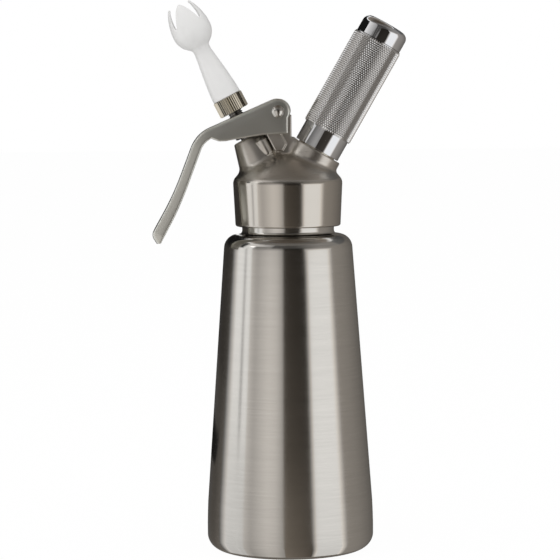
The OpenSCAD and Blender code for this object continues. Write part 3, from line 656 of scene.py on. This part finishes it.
# valve stem: poppet, guide length, thread, bore
stem_top = RING_TOP - 1.5
thread_low = 50.59 + 0.8
stem = [(0, 13.7), (5.4, 13.7), (5.9, 14.2), (5.9, 15.9), (5.6, 16.2), (3.6, 16.2),
        (3.6, 50.4), (3.1, 50.9), (3.1, stem_top - 0.4), (2.8, stem_top), (2.1, stem_top),
        (2.1, 19.5), (0, 19.5)]
turned("valve_stem_body", stem, "valve", "valve_stem", "brushed_steel", VALVE, 64,
       [helix(3.1, 3.6, 1, thread_low, stem_top - thread_low - 1, 0.7, 0.2, 32)], False)
collar = [(3.62, 48.49), (6.7, 48.49), (7, 48.8), (7, 49.6), (6.8, 49.85), (5.3, 50.55),
          (3.62, 50.59)]
turned("press_collar_body", collar, "valve", "press_collar", "brass", VALVE)

# charger stud: thread, socket, shank and nipple
stud = [(1, -14.5), (4, -14.5), (4, -13.7), (3.2, -13.7), (3.2, -8.7), (6, -8.7), (6, 0),
        (9.55, 0), (9.55, 7.5), (9.05, 8), (5.2, 8), (4.7, 7.5), (4.7, -1.7),
        (3.12, -1.7), (3.12, -4.9), (1, -4.9)]
turned("charger_stud_body", stud, "head", "charger_stud", "nickel", HOLDER, 96,
       [helix(9.55, 10.15, 1.5, 1.2, 3.7, 0.9, 0.33)])

# gas charger: a drawn steel flask with a narrow neck
R = 9.3
flask = [(1.9, -0.2), (3.4, -0.2), (3.4, 0.3), (4.1, 0.3), (4.4, 0.0), (4.4, 8.9)]
flask += arc(4.9, 9.4, 0.5, 180, 110, 3)
flask += arc(0, 17.8, R, -60, 0, 12) + arc(0, 56, R, 0, 90, 16)
flask += arc(0, 56, R - 1.2, 90, 0, 12) + arc(0, 17.8, R - 1.2, 0, -72, 10) + [(1.9, 9.4)]
turned("charger_body", flask, "charger", "charger", "charger_steel", HOLDER)

# charger holder: one tube with a plain band at the mouth and a rounded cap at the end
END, CAP_LOW = 68.65, 68.65 - 9.2
TUBE_R = 11.35
holder = [(10.55, 0.35), (11.1, 0.35), (TUBE_R, 0.6), (TUBE_R, 10.25), (TUBE_R - 0.15, 10.3),
          (TUBE_R - 0.15, CAP_LOW - 0.05), (11.3, CAP_LOW), (11.5, CAP_LOW + 0.25)]
holder += [(11.5, 62)] + arc(11.5 - 3.4, END - 3.4, 3.4, 0, 90, 14) + [(4, END), (0, END)]
holder += [(0, END - 2), (9.3, END - 2), (9.55, END - 2.25), (9.55, 9.35), (10.55, 9.35)]
turned("holder_shell", holder, "holder", "holder_tube", "chrome", HOLDER, 160,
       [helix(10.55, 9.8, 1.5, 1.95, 3.5, 0.9, 0.33)])
print("turned pieces ready")

# %% [markdown]
# ## Knurls
# A knurl repeats one tooth on a grid of rows and columns that is then wrapped round the
# piece. The node group takes the tooth's size, the counts and the radius as inputs.

# %% Knurls
def group(name, inputs):
    tree = bpy.data.node_groups.new(name, "GeometryNodeTree")
    tree.interface.new_socket("Geometry", in_out="OUTPUT", socket_type="NodeSocketGeometry")
    for label, kind, value in inputs:
        made = tree.interface.new_socket(label, in_out="INPUT", socket_type="NodeSocket" + kind)
        if value is not None:
            made.default_value = value
    return tree, tree.nodes.new("NodeGroupInput"), tree.nodes.new("NodeGroupOutput")


def knurl_group():
    """Pyramid teeth on staggered rows, wrapped round Z."""
    tree, given, out = group("knurl", [
        ("Columns", "Int", 92), ("Rows", "Int", 100), ("Radius", "Float", 0.012),
        ("Length", "Float", 0.05), ("Depth", "Float", 0.0003), ("Material", "Material", None)])
    start = Field(tree, given.outputs["Columns"])
    get = {s.name: Field(tree, s) for s in given.outputs if s.name}
    whole = get["Radius"] * 2 * math.pi
    wide = whole / get["Columns"]
    tall = get["Length"] / get["Rows"] * 2
    tooth = start.node("GeometryNodeMeshCone", {"fill_type": "NGON"}, Vertices=4,
                       Radius_Top=0.07, Radius_Bottom=0.5, Depth=get["Depth"])
    sized = start.node("GeometryNodeTransform", Geometry=tooth, Scale=start.node(
        "ShaderNodeCombineXYZ", X=wide, Y=tall, Z=1.0))
    grid = start.node("GeometryNodeMeshGrid", Size_X=whole - wide, Size_Y=get["Length"] - tall,
                      Vertices_X=get["Columns"], Vertices_Y=get["Rows"] - 1)
    index = start.node("GeometryNodeInputIndex")
    row = index.maths("MODULO", index, get["Rows"] - 1)
    odd = row.maths("MODULO", row, 2.0)
    shift = start.node("GeometryNodeSetPosition", Geometry=grid,
                       Offset=start.node("ShaderNodeCombineXYZ", X=odd * wide * 0.5, Y=0.0, Z=0.0))
    many = start.node("GeometryNodeInstanceOnPoints", Points=shift, Instance=sized)
    real = start.node("GeometryNodeRealizeInstances", Geometry=many)
    place = start.node("GeometryNodeInputPosition")
    axes = tree.nodes.new("ShaderNodeSeparateXYZ")
    tree.links.new(place.socket, axes.inputs[0])
    x, y, z = (Field(tree, s) for s in axes.outputs)
    angle = x / get["Radius"]
    high = get["Radius"] + z
    wrapped = start.node("ShaderNodeCombineXYZ", X=high * angle.maths("COSINE", angle),
                         Y=high * angle.maths("SINE", angle), Z=y)
    round_it = start.node("GeometryNodeSetPosition", Geometry=real, Position=wrapped)
    merged_it = start.node("GeometryNodeMergeByDistance", Geometry=round_it, Distance=1e-6)
    last = start.node("GeometryNodeSetMaterial", Geometry=merged_it, Material=get["Material"])
    tree.links.new(last.socket, out.inputs[0])
    return tree


def grow_nodes(name, tree, values):
    """Runs a node group on an empty mesh and gives its points and faces in millimetres."""
    holder_mesh = bpy.data.meshes.new(name + "_seed")
    seed = bpy.data.objects.new(name + "_seed", holder_mesh)
    bpy.context.scene.collection.objects.link(seed)
    live = seed.modifiers.new("grow", "NODES")
    live.node_group = tree
    for item in tree.interface.items_tree:
        if item.in_out == "INPUT" and item.name in values:
            live[item.identifier] = values[item.name]
    mesh = bpy.data.meshes.new_from_object(
        seed.evaluated_get(bpy.context.evaluated_depsgraph_get()))
    verts = np.empty(len(mesh.vertices) * 3)
    mesh.vertices.foreach_get("co", verts)
    faces = [tuple(f.vertices) for f in mesh.polygons]
    bpy.data.objects.remove(seed)
    return (verts.reshape(-1, 3) / MM).tolist(), faces


def tooth_group():
    """Straight teeth side by side round Z, each a three-sided prism with an edge outwards."""
    tree, given, out = group("straight_knurl", [
        ("Count", "Int", 42), ("Radius", "Float", 0.0074), ("Length", "Float", 0.0066),
        ("Depth", "Float", 0.0004), ("Material", "Material", None)])
    start = Field(tree, given.outputs["Count"])
    get = {s.name: Field(tree, s) for s in given.outputs if s.name}
    wide = get["Radius"] * 2 * math.pi / get["Count"] * 0.98
    prism = start.node("GeometryNodeMeshCylinder", {"fill_type": "NGON"}, Vertices=3,
                       Radius=1.0, Depth=get["Length"])
    tooth = start.node("GeometryNodeTransform", Geometry=prism, Scale=start.node(
        "ShaderNodeCombineXYZ", X=get["Depth"] / 1.5, Y=wide / math.sqrt(3), Z=1.0))
    ring = start.node("GeometryNodeMeshCircle", Vertices=get["Count"], Radius=get["Radius"])
    index = start.node("GeometryNodeInputIndex")
    many = start.node("GeometryNodeInstanceOnPoints", Points=ring, Instance=tooth,
                      Rotation=start.node("ShaderNodeCombineXYZ", X=0.0, Y=0.0, Z=index
                                          * (2 * math.pi) / get["Count"]))
    real = start.node("GeometryNodeRealizeInstances", Geometry=many)
    last = start.node("GeometryNodeSetMaterial", Geometry=real, Material=get["Material"])
    tree.links.new(last.socket, out.inputs[0])
    return tree


diamond_tree, straight_tree = knurl_group(), tooth_group()
SLEEVE_LOW, SLEEVE_TOP = 10.2, CAP_LOW
diamonds = grow_nodes("grip", diamond_tree, {
    "Columns": 70, "Rows": 50, "Radius": 11.93 * MM,
    "Length": (SLEEVE_TOP - SLEEVE_LOW - 0.3) * MM, "Depth": 0.37 * MM})
middle = (SLEEVE_LOW + SLEEVE_TOP) / 2
diamonds = ([(x, y, z + middle) for x, y, z in diamonds[0]], diamonds[1])
base = [(11.37, SLEEVE_LOW), (11.93, SLEEVE_LOW), (11.95, SLEEVE_LOW + 0.1),
        (11.95, SLEEVE_TOP - 0.1), (11.93, SLEEVE_TOP), (11.37, SLEEVE_TOP)]
grip = turned("grip_knurl", base, "holder", "grip_sleeve", "chrome", HOLDER, 140, [diamonds],
              sharp=12)
print("grip_knurl", len(grip.data.polygons), "faces")

teeth = grow_nodes("ring", straight_tree, {
    "Count": 42, "Radius": 7.02 * MM, "Length": 7.4 * MM, "Depth": 0.54 * MM})
teeth = ([(x, y, z + RING_LOW + 3.9) for x, y, z in teeth[0]], teeth[1])
body = [(3.95, RING_LOW), (6.75, RING_LOW), (6.95, RING_LOW + 0.2), (6.95, RING_TOP - 0.2),
        (6.75, RING_TOP), (6.42, RING_TOP), (6.42, RING_TOP - 4), (5.03, RING_TOP - 4),
        (5.03, RING_TOP - 1.5), (3.95, RING_TOP - 1.5)]
ring_start = thread_low + math.ceil(RING_LOW + 0.4 - thread_low) + 0.5
ring = turned("tip_ring_body", body, "tip", "tip_ring", "nickel", VALVE, 128,
              [teeth, helix(3.95, 3.4, 1, ring_start, stem_top - ring_start - 0.6, 0.6, 0.2, 32)],
              sharp=20)
print("tip_ring_body", len(ring.data.polygons), "faces")

# %% [markdown]
# ## The valve spring
# Six turns of round wire, closed at both ends.

# %% Valve spring
def spring(low, high, curls=6, radius=5.3, wire=0.5, steps=28, sides=8):
    closed, end = 1.45, 0.12
    verts, faces = [], []
    count = curls * steps
    for i in range(count + 1):
        u = i / count
        if u < end:
            rise = closed * u / end
        elif u > 1 - end:
            rise = high - low - closed * (1 - u) / end
        else:
            rise = closed + (high - low - 2 * closed) * (u - end) / (1 - 2 * end)
        a = 360 * curls * u
        for k in range(sides):
            r = radius + wire * cos(360 * k / sides)
            verts.append((r * cos(a), r * sin(a), low + rise + wire * sin(360 * k / sides)))
    for i in range(count):
        for k in range(sides):
            m = (k + 1) % sides
            faces.append([sides * i + k, sides * i + sides + k, sides * i + sides + m,
                          sides * i + m])
    return verts, faces + [list(range(sides)), list(range(sides * count, sides * (count + 1)))[::-1]]


coil = piece("valve_spring_wire", *spring(34.05, 47.94), "head", ["valve_spring"],
             "spring_steel", at=VALVE)
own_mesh(coil)

# %% [markdown]
# ## Materials
# Each metal has its own brushing: lines round the bottle, a finer satin on the casting, a
# tumbled grain on the sheet. All of it is worked out from the place on the piece.

# %% Materials
def shaded(look, colour, shade):
    """The colour made a little lighter and darker by a shade about 1."""
    value = look.at.node("ShaderNodeCombineColor", i0=shade, i1=shade, i2=shade)
    return look.at.node("ShaderNodeMix", {"data_type": "RGBA", "blend_type": "MULTIPLY"},
                        out=2, i0=1.0, i6=(*colour, 1.0), i7=value)


def brushed(name, colour, rough, at=UPRIGHT, lines=6.0, depth=4e-7, tint=0.03, change=None,
            top=None, painted_groove_shade=None, **values):
    """Metal brushed round an axis: fine lines that vary along it and run far round it.
    change and top are each a height, a blend length and the roughness above it.
    The groove shade is a pair of radii between which the colour darkens inwards: painted shade in a
    knurl's grooves."""
    look = Look(name, Metallic=1.0, **values)
    x, y, z, r = look.parts(at)
    fine = look.vector(x * 0.05, y * 0.05, z * lines).noise(1.0, 4.0, 0.7)
    broad = look.vector(x * 0.02, y * 0.02, z * 0.35).noise(1.0, 3.0, 0.6)
    worn = look.vector(x * 0.05, y * 0.05, z * 0.05).noise(1.0, 3.0, 0.6)
    shade = (fine - 0.5) * tint * 2 + (broad - 0.5) * tint + 1.0
    # painted shade: the colour darkens towards the bottoms of the knurl's grooves
    if painted_groove_shade:
        shade = shade * (r.step(*painted_groove_shade) * 0.7 + 0.3)
    base = (worn - 0.5) * 0.05 + rough
    for height, length, above in (v for v in (change, top) if v):
        base = base + z.step(height, height + length) * (above - rough)
        rough = above
    look.drive(Base_Color=shaded(look, colour, shade), Roughness=(fine - 0.5) * 0.10 + base)
    return look.bump(fine, 0.5, depth).material


def grained(name, colour, rough, size=1.2, tint=0.05, depth=4e-6, metal=1.0, **values):
    """Tumbled or moulded surface with an even fine grain."""
    look = Look(name, Metallic=metal, **values)
    x, y, z, _ = look.parts(UPRIGHT)
    grain = look.vector(x * size, y * size, z * size).noise(3.0, 4.0, 0.65)
    cloud = look.vector(x * 0.08, y * 0.08, z * 0.08).noise(1.0, 2.0, 0.5)
    shade = (grain - 0.5) * tint * 2 + (cloud - 0.5) * tint + 1.0
    look.drive(Base_Color=shaded(look, colour, shade),
               Roughness=(grain - 0.5) * 0.12 + (cloud - 0.5) * 0.06 + rough)
    return look.bump(grain, 0.4, depth).material


materials = {
    "brushed_steel": brushed("brushed_steel", (0.67, 0.65, 0.615), 0.15, lines=2.2, tint=0.10),
    # painted shade: the valve stem's steel is darkened to stand in for the shade under the tip ring
    "painted_shade_steel": brushed("painted_shade_steel", (0.22, 0.21, 0.20), 0.2, VALVE),
    "satin_casting": brushed("satin_casting", (0.64, 0.605, 0.555), 0.15, lines=5.0,
                             change=(176.6, 1.4, 0.29), top=(191.0, 5.0, 0.40)),
    "satin_sheet": grained("satin_sheet", (0.80, 0.80, 0.75), 0.34, depth=1e-6, tint=0.03),
    "spring_steel": grained("spring_steel", (0.70, 0.70, 0.70), 0.2),
    "charger_steel": grained("charger_steel", (0.62, 0.63, 0.64), 0.25),
    "chrome": brushed("chrome", (0.80, 0.81, 0.83), 0.05, HOLDER, depth=2e-7, tint=0.01),
    # the two knurled finishes darken in their grooves: painted shade
    "knurled_chrome": brushed("knurled_chrome", (0.92, 0.92, 0.92), 0.12, HOLDER, depth=2e-7,
                              painted_groove_shade=(11.85, 12.03)),
    "nickel": brushed("nickel", (0.72, 0.67, 0.56), 0.16, VALVE),
    "knurled_nickel": brushed("knurled_nickel", (0.86, 0.81, 0.69), 0.16, VALVE,
                              painted_groove_shade=(6.7, 7.1)),
    "brass": brushed("brass", (0.78, 0.66, 0.36), 0.2, VALVE),
    "white_plastic": grained("white_plastic", (0.77, 0.765, 0.755), 0.34, 0.6, 0.01, 3e-6, 0.0),
    "silicone": grained("silicone", (0.80, 0.24, 0.16), 0.5, 0.8, 0.06, 6e-6, 0.0),
    "black_rubber": grained("black_rubber", (0.05, 0.05, 0.05), 0.55, 0.8, 0.2, 6e-6, 0.0),
}
made = {"bottle_body": "brushed_steel", "head_body": "satin_casting",
        "lever_body": "satin_sheet", "tip_body": "white_plastic",
        "hinge_rivet": "brushed_steel", "valve_stem_body": "painted_shade_steel",
        "press_collar_body": "brass", "charger_stud_body": "nickel",
        "charger_body": "charger_steel", "holder_shell": "chrome", "grip_knurl": "knurled_chrome",
        "tip_ring_body": "knurled_nickel", "valve_spring_wire": "spring_steel"}
for name, slot in made.items():
    mesh = bpy.data.objects[name].data
    mesh.materials.clear()
    mesh.materials.append(materials[slot])
kept = {"head_gasket": "silicone", "valve_guide": "brass", "guide_o_ring": "black_rubber",
        "stud_o_ring": "black_rubber", "stud_nut": "nickel", "piercing_pin": "brushed_steel",
        "charger_seal": "black_rubber", "inlet_sleeve": "silicone", "poppet_seal": "silicone",
        "tip_washer": "silicone", "charger_seal_disc": "nickel",
        "holder_cushion": "white_plastic"}
for name, slot in kept.items():
    for place in frame["nodes"][name].material_slots:
        place.material = materials[slot]
print("materials on", len(made), "new pieces and", len(kept), "solids")

# %% [markdown]
# ## Stage
# A white room with soft lamps. Tall grey cards stand 0.8 m round the object, and flat ones lie
# above it and on the floor round its foot. Only mirror rays see them: they give the metal its
# bands, as in a packshot.

# %% Stage
def shader_tree(name):
    material = bpy.data.materials.new(name)
    material.use_nodes = True
    tree = material.node_tree
    tree.nodes.clear()
    return material, tree


def seen(tree):
    """1 for camera, mirror and see-through rays, 0 for the light on the object."""
    path = tree.nodes.new("ShaderNodeLightPath")
    a = Field(tree, path.outputs["Is Camera Ray"])
    return a.maths("MAXIMUM", a.maths("MAXIMUM", a, Field(tree, path.outputs["Is Glossy Ray"])),
                   Field(tree, path.outputs["Is Transmission Ray"]))


def card(name, verts, tones, columns, rows):
    """A sheet that only the metal sees; each of its points has a tone of its own."""
    mesh = bpy.data.meshes.new(name)
    faces = [(i * rows + j, (i + 1) * rows + j, (i + 1) * rows + j + 1, i * rows + j + 1)
             for i in range(columns - 1) for j in range(rows - 1)]
    mesh.from_pydata(verts, [], faces)
    paint = mesh.color_attributes.new("tone", "FLOAT_COLOR", "POINT")
    for spot, tone in zip(paint.data, tones):
        spot.color = (*tone, 1.0)
    obj = bpy.data.objects.new(name, mesh)
    bpy.context.scene.collection.objects.link(obj)
    material, tree = shader_tree(name)
    layer = tree.nodes.new("ShaderNodeVertexColor")
    layer.layer_name = "tone"
    glow = tree.nodes.new("ShaderNodeEmission")
    last = tree.nodes.new("ShaderNodeOutputMaterial")
    tree.links.new(layer.outputs["Color"], glow.inputs["Color"])
    tree.links.new(glow.outputs[0], last.inputs[0])
    mesh.materials.append(material)
    obj.visible_camera = False
    obj.visible_diffuse = False
    obj.visible_shadow = False


def shade(values, place):
    """A value read off an evenly spaced list at place 0 to 1."""
    return float(np.interp(place, np.linspace(0, 1, len(values)), values))


# metres: the bottle's mean radius, the cards' distance, the height of the paper that lies on
# the floor, and the radius and height of the shelf that it climbs to
MIRROR_R, CARD_R, PAPER_Z, SHELF_R, SHELF_Z = 0.038, 0.8, 0.0004, 0.3, 0.03
KERB = [(r, PAPER_Z) for r in (0.037, 0.041, 0.045, 0.055, 0.075, 0.12, SHELF_R)]
KERB += [(SHELF_R, SHELF_Z), (CARD_R, SHELF_Z)]


def met(bearing, r):
    """Where a ray that leaves the bottle at bearing crosses radius r about its axis."""
    reach = max(-0.97, min(0.97, MIRROR_R * sin(bearing / 2) / r))
    return bearing - math.degrees(math.asin(reach))


def upright(name, start, end, values, warm=0.0, low=0.0, high=0.46, rise=(1, 1),
            kerb=(1.0, 1.0), columns=17):
    """A curved standing card between two bearings; bearing 0 faces the viewer. Its grey
    changes along it by values and upwards by rise. Below it a kerb of kerb times that grey,
    from near to far, lies on the floor, so that the base shows the same bands."""
    walls = [[(CARD_R, low + (high - low) * j / 8) for j in range(9)]]
    if kerb:
        walls.append(KERB)
    for number, wall in enumerate(walls):
        verts, tones = [], []
        for i in range(columns):
            a = start + (end - start) * i / (columns - 1)
            for j, (r, z) in enumerate(wall):
                value = shade(values, i / (columns - 1))
                value *= shade(kerb if number else rise, j / (len(wall) - 1))
                b = met(a, r)
                verts.append((r * sin(b), -r * cos(b), z))
                tones.append((value * (1 + warm), value, value * (1 - warm)))
        card(name + "_kerb" * number, verts, tones, columns, len(wall))


def level(name, start, end, near_tone, far_tone, warm, near, far, z, columns=25):
    """A flat card at height z, a sector of a ring about the object, its tone from the inner
    edge to the outer."""
    verts, tones = [], []
    for i in range(columns):
        a = start + (end - start) * i / (columns - 1)
        verts += [(r * sin(a), -r * cos(a), z) for r in (near, far)]
        tones += [(v * (1 + warm), v, v * (1 - warm)) for v in (near_tone, far_tone)]
    card(name, verts, tones, columns, 2)


upright("card_back_left", -180, -150, (0.04, 0.04), 0.05, rise=(1, 1, 0.8, 0.2, 0.05),
        kerb=(3.0, 1.6))
upright("card_left_dark", -150, -118, (0.04, 0.04, 0.06), 0.10, rise=(1, 1, 0.8, 0.2, 0.1),
        kerb=(3.0, 1.6))
upright("card_left_edge", -118, -102, (0.06, 0.9), 0.02)
upright("kerb_left", -102, -70, (1.0, 0.9), high=0.02, kerb=(0.7, 0.9))
upright("card_left_line", -86, -80, (0.95, 0.65, 0.95), 0.0, rise=(0.6, 1.0))
upright("card_front_left", -70, -11, (0.66, 0.48, 0.62, 0.74, 0.68, 0.42), 0.04, high=0.62,
        rise=(1, 1, 1, 0.85, 0.6, 0.5, 0.4, 0.35, 0.3), kerb=(0.8, 1.0))
upright("card_front_dark", -11, 27, (0.07, 0.055, 0.045, 0.03), 0.16, high=0.5,
        rise=(0.9, 1.1, 0.8, 0.6, 0.5, 0.4, 0.3, 0.3, 0.3), kerb=(2.8, 1.9))
upright("card_front_edge", 27, 34, (0.05, 0.9), 0.05, high=0.24)
upright("kerb_right", 34, 72, (1.0, 1.0), high=0.02, kerb=(0.8, 1.0))
upright("card_right_edge", 72, 82, (1.0, 0.32), 0.05)
upright("card_right_brown", 82, 180, (0.30, 0.26, 0.19, 0.12, 0.1), 0.08)
upright("card_right_high", 27, 82, (0.3, 0.4, 0.3), 0.05, low=0.24, high=0.46,
        rise=(2.4, 1.0, 0.6), kerb=0)
upright("card_high_left", -180, -92, (0.01, 0.01), low=0.36, high=0.9, kerb=0)
upright("card_high_back", 110, 180, (0.15, 0.04), low=0.44, high=0.9, kerb=0)
upright("sky_left", -92, -33, (0.9, 0.3), 0.02, low=0.62, high=1.0, kerb=0)
upright("sky_right", -33, 110, (0.07, 0.07, 0.25, 0.25), 0.05, low=0.46, high=1.0, kerb=0)
# painted shadow: a dark ring on the floor at the base, seen only in mirrors, so the base's rounding
# shows a dark contact line
level("card_foot", -180, 180, 0.02, 0.2, 0.1, 0.0332, 0.0375, 0.0005, 65)
level("sky_front", -92, 120, 0.09, 0.18, 0.08, 0.36, 0.8, 1.0)
level("card_low_left", -185, -125, 0.01, 0.01, 0.0, 0.12, 0.3, 0.031)
level("card_ceiling_back", 90, 270, 0.08, 0.25, 0.15, 0.0, 0.75, 1.0)
level("card_ceiling_front", -90, 90, 0.05, 0.07, 0.25, 0.0, 0.36, 1.0)

FLOOR = 8.0
floor_mesh = bpy.data.meshes.new("floor")
floor_mesh.from_pydata([(-FLOOR, -FLOOR, 0), (FLOOR, -FLOOR, 0), (FLOOR, FLOOR, 0),
                        (-FLOOR, FLOOR, 0)], [], [(0, 1, 2, 3)])
floor = bpy.data.objects.new("floor", floor_mesh)
floor.location.z = -0.0002
bpy.context.scene.collection.objects.link(floor)
paper, tree = shader_tree("white_paper")
diffuse = tree.nodes.new("ShaderNodeBsdfDiffuse")
diffuse.inputs["Color"].default_value = (1.0, 1.0, 1.0, 1.0)
glow = tree.nodes.new("ShaderNodeEmission")
both = tree.nodes.new("ShaderNodeMixShader")
last = tree.nodes.new("ShaderNodeOutputMaterial")
tree.links.new((seen(tree) * 0.975).socket, both.inputs[0])
tree.links.new(diffuse.outputs[0], both.inputs[1])
tree.links.new(glow.outputs[0], both.inputs[2])
tree.links.new(both.outputs[0], last.inputs[0])
floor_mesh.materials.append(paper)

world = bpy.data.worlds.new("room")
world.use_nodes = True
bpy.context.scene.world = world
tree = world.node_tree
tree.nodes.clear()
plain = tree.nodes.new("ShaderNodeBackground")
plain.inputs["Strength"].default_value = 0.65
white = tree.nodes.new("ShaderNodeBackground")
white.inputs["Color"].default_value = (1.0, 1.0, 1.0, 1.0)
plain.inputs["Color"].default_value = (1.0, 1.0, 1.0, 1.0)
both = tree.nodes.new("ShaderNodeMixShader")
last = tree.nodes.new("ShaderNodeOutputWorld")
tree.links.new(seen(tree).socket, both.inputs[0])
tree.links.new(plain.outputs[0], both.inputs[1])
tree.links.new(white.outputs[0], both.inputs[2])
tree.links.new(both.outputs[0], last.inputs[0])


def lamp(name, place, size, power):
    """A square soft lamp that points at the middle of the object."""
    data = bpy.data.lights.new(name, "AREA")
    data.size, data.energy = size, power
    obj = bpy.data.objects.new(name, data)
    bpy.context.scene.collection.objects.link(obj)
    obj.location = place
    obj.rotation_euler = (Vector(place) - Vector((0, 0, 0.13))).to_track_quat("Z", "Y").to_euler()


lamp("key_lamp", (-0.9, -0.7, 1.5), 1.5, 11.0)
lamp("fill_lamp", (1.0, -0.6, 1.5), 1.4, 6.0)

# %% [markdown]
# ## Camera
# A long lens from just above the shoulder's height, as in the photograph.

# %% Camera
dip, swing, roll = math.radians(4.58), math.radians(1.5), math.radians(0.47)
view = Vector((math.sin(swing) * math.cos(dip), math.cos(swing) * math.cos(dip), -math.sin(dip)))
lens = bpy.data.cameras.new("camera")
lens.lens, lens.sensor_width = 149.46, 36.0
camera = bpy.data.objects.new("camera", lens)
bpy.context.scene.collection.objects.link(camera)
camera.location = (-0.0332, -1.1124, 0.2186)
camera.rotation_euler = (view.to_track_quat("-Z", "Y").to_matrix()
                         @ Matrix.Rotation(-roll, 3, "Z")).to_euler()
bpy.context.scene.camera = camera
bpy.context.scene.view_settings.view_transform = "Standard"

bpy.context.view_layer.update()
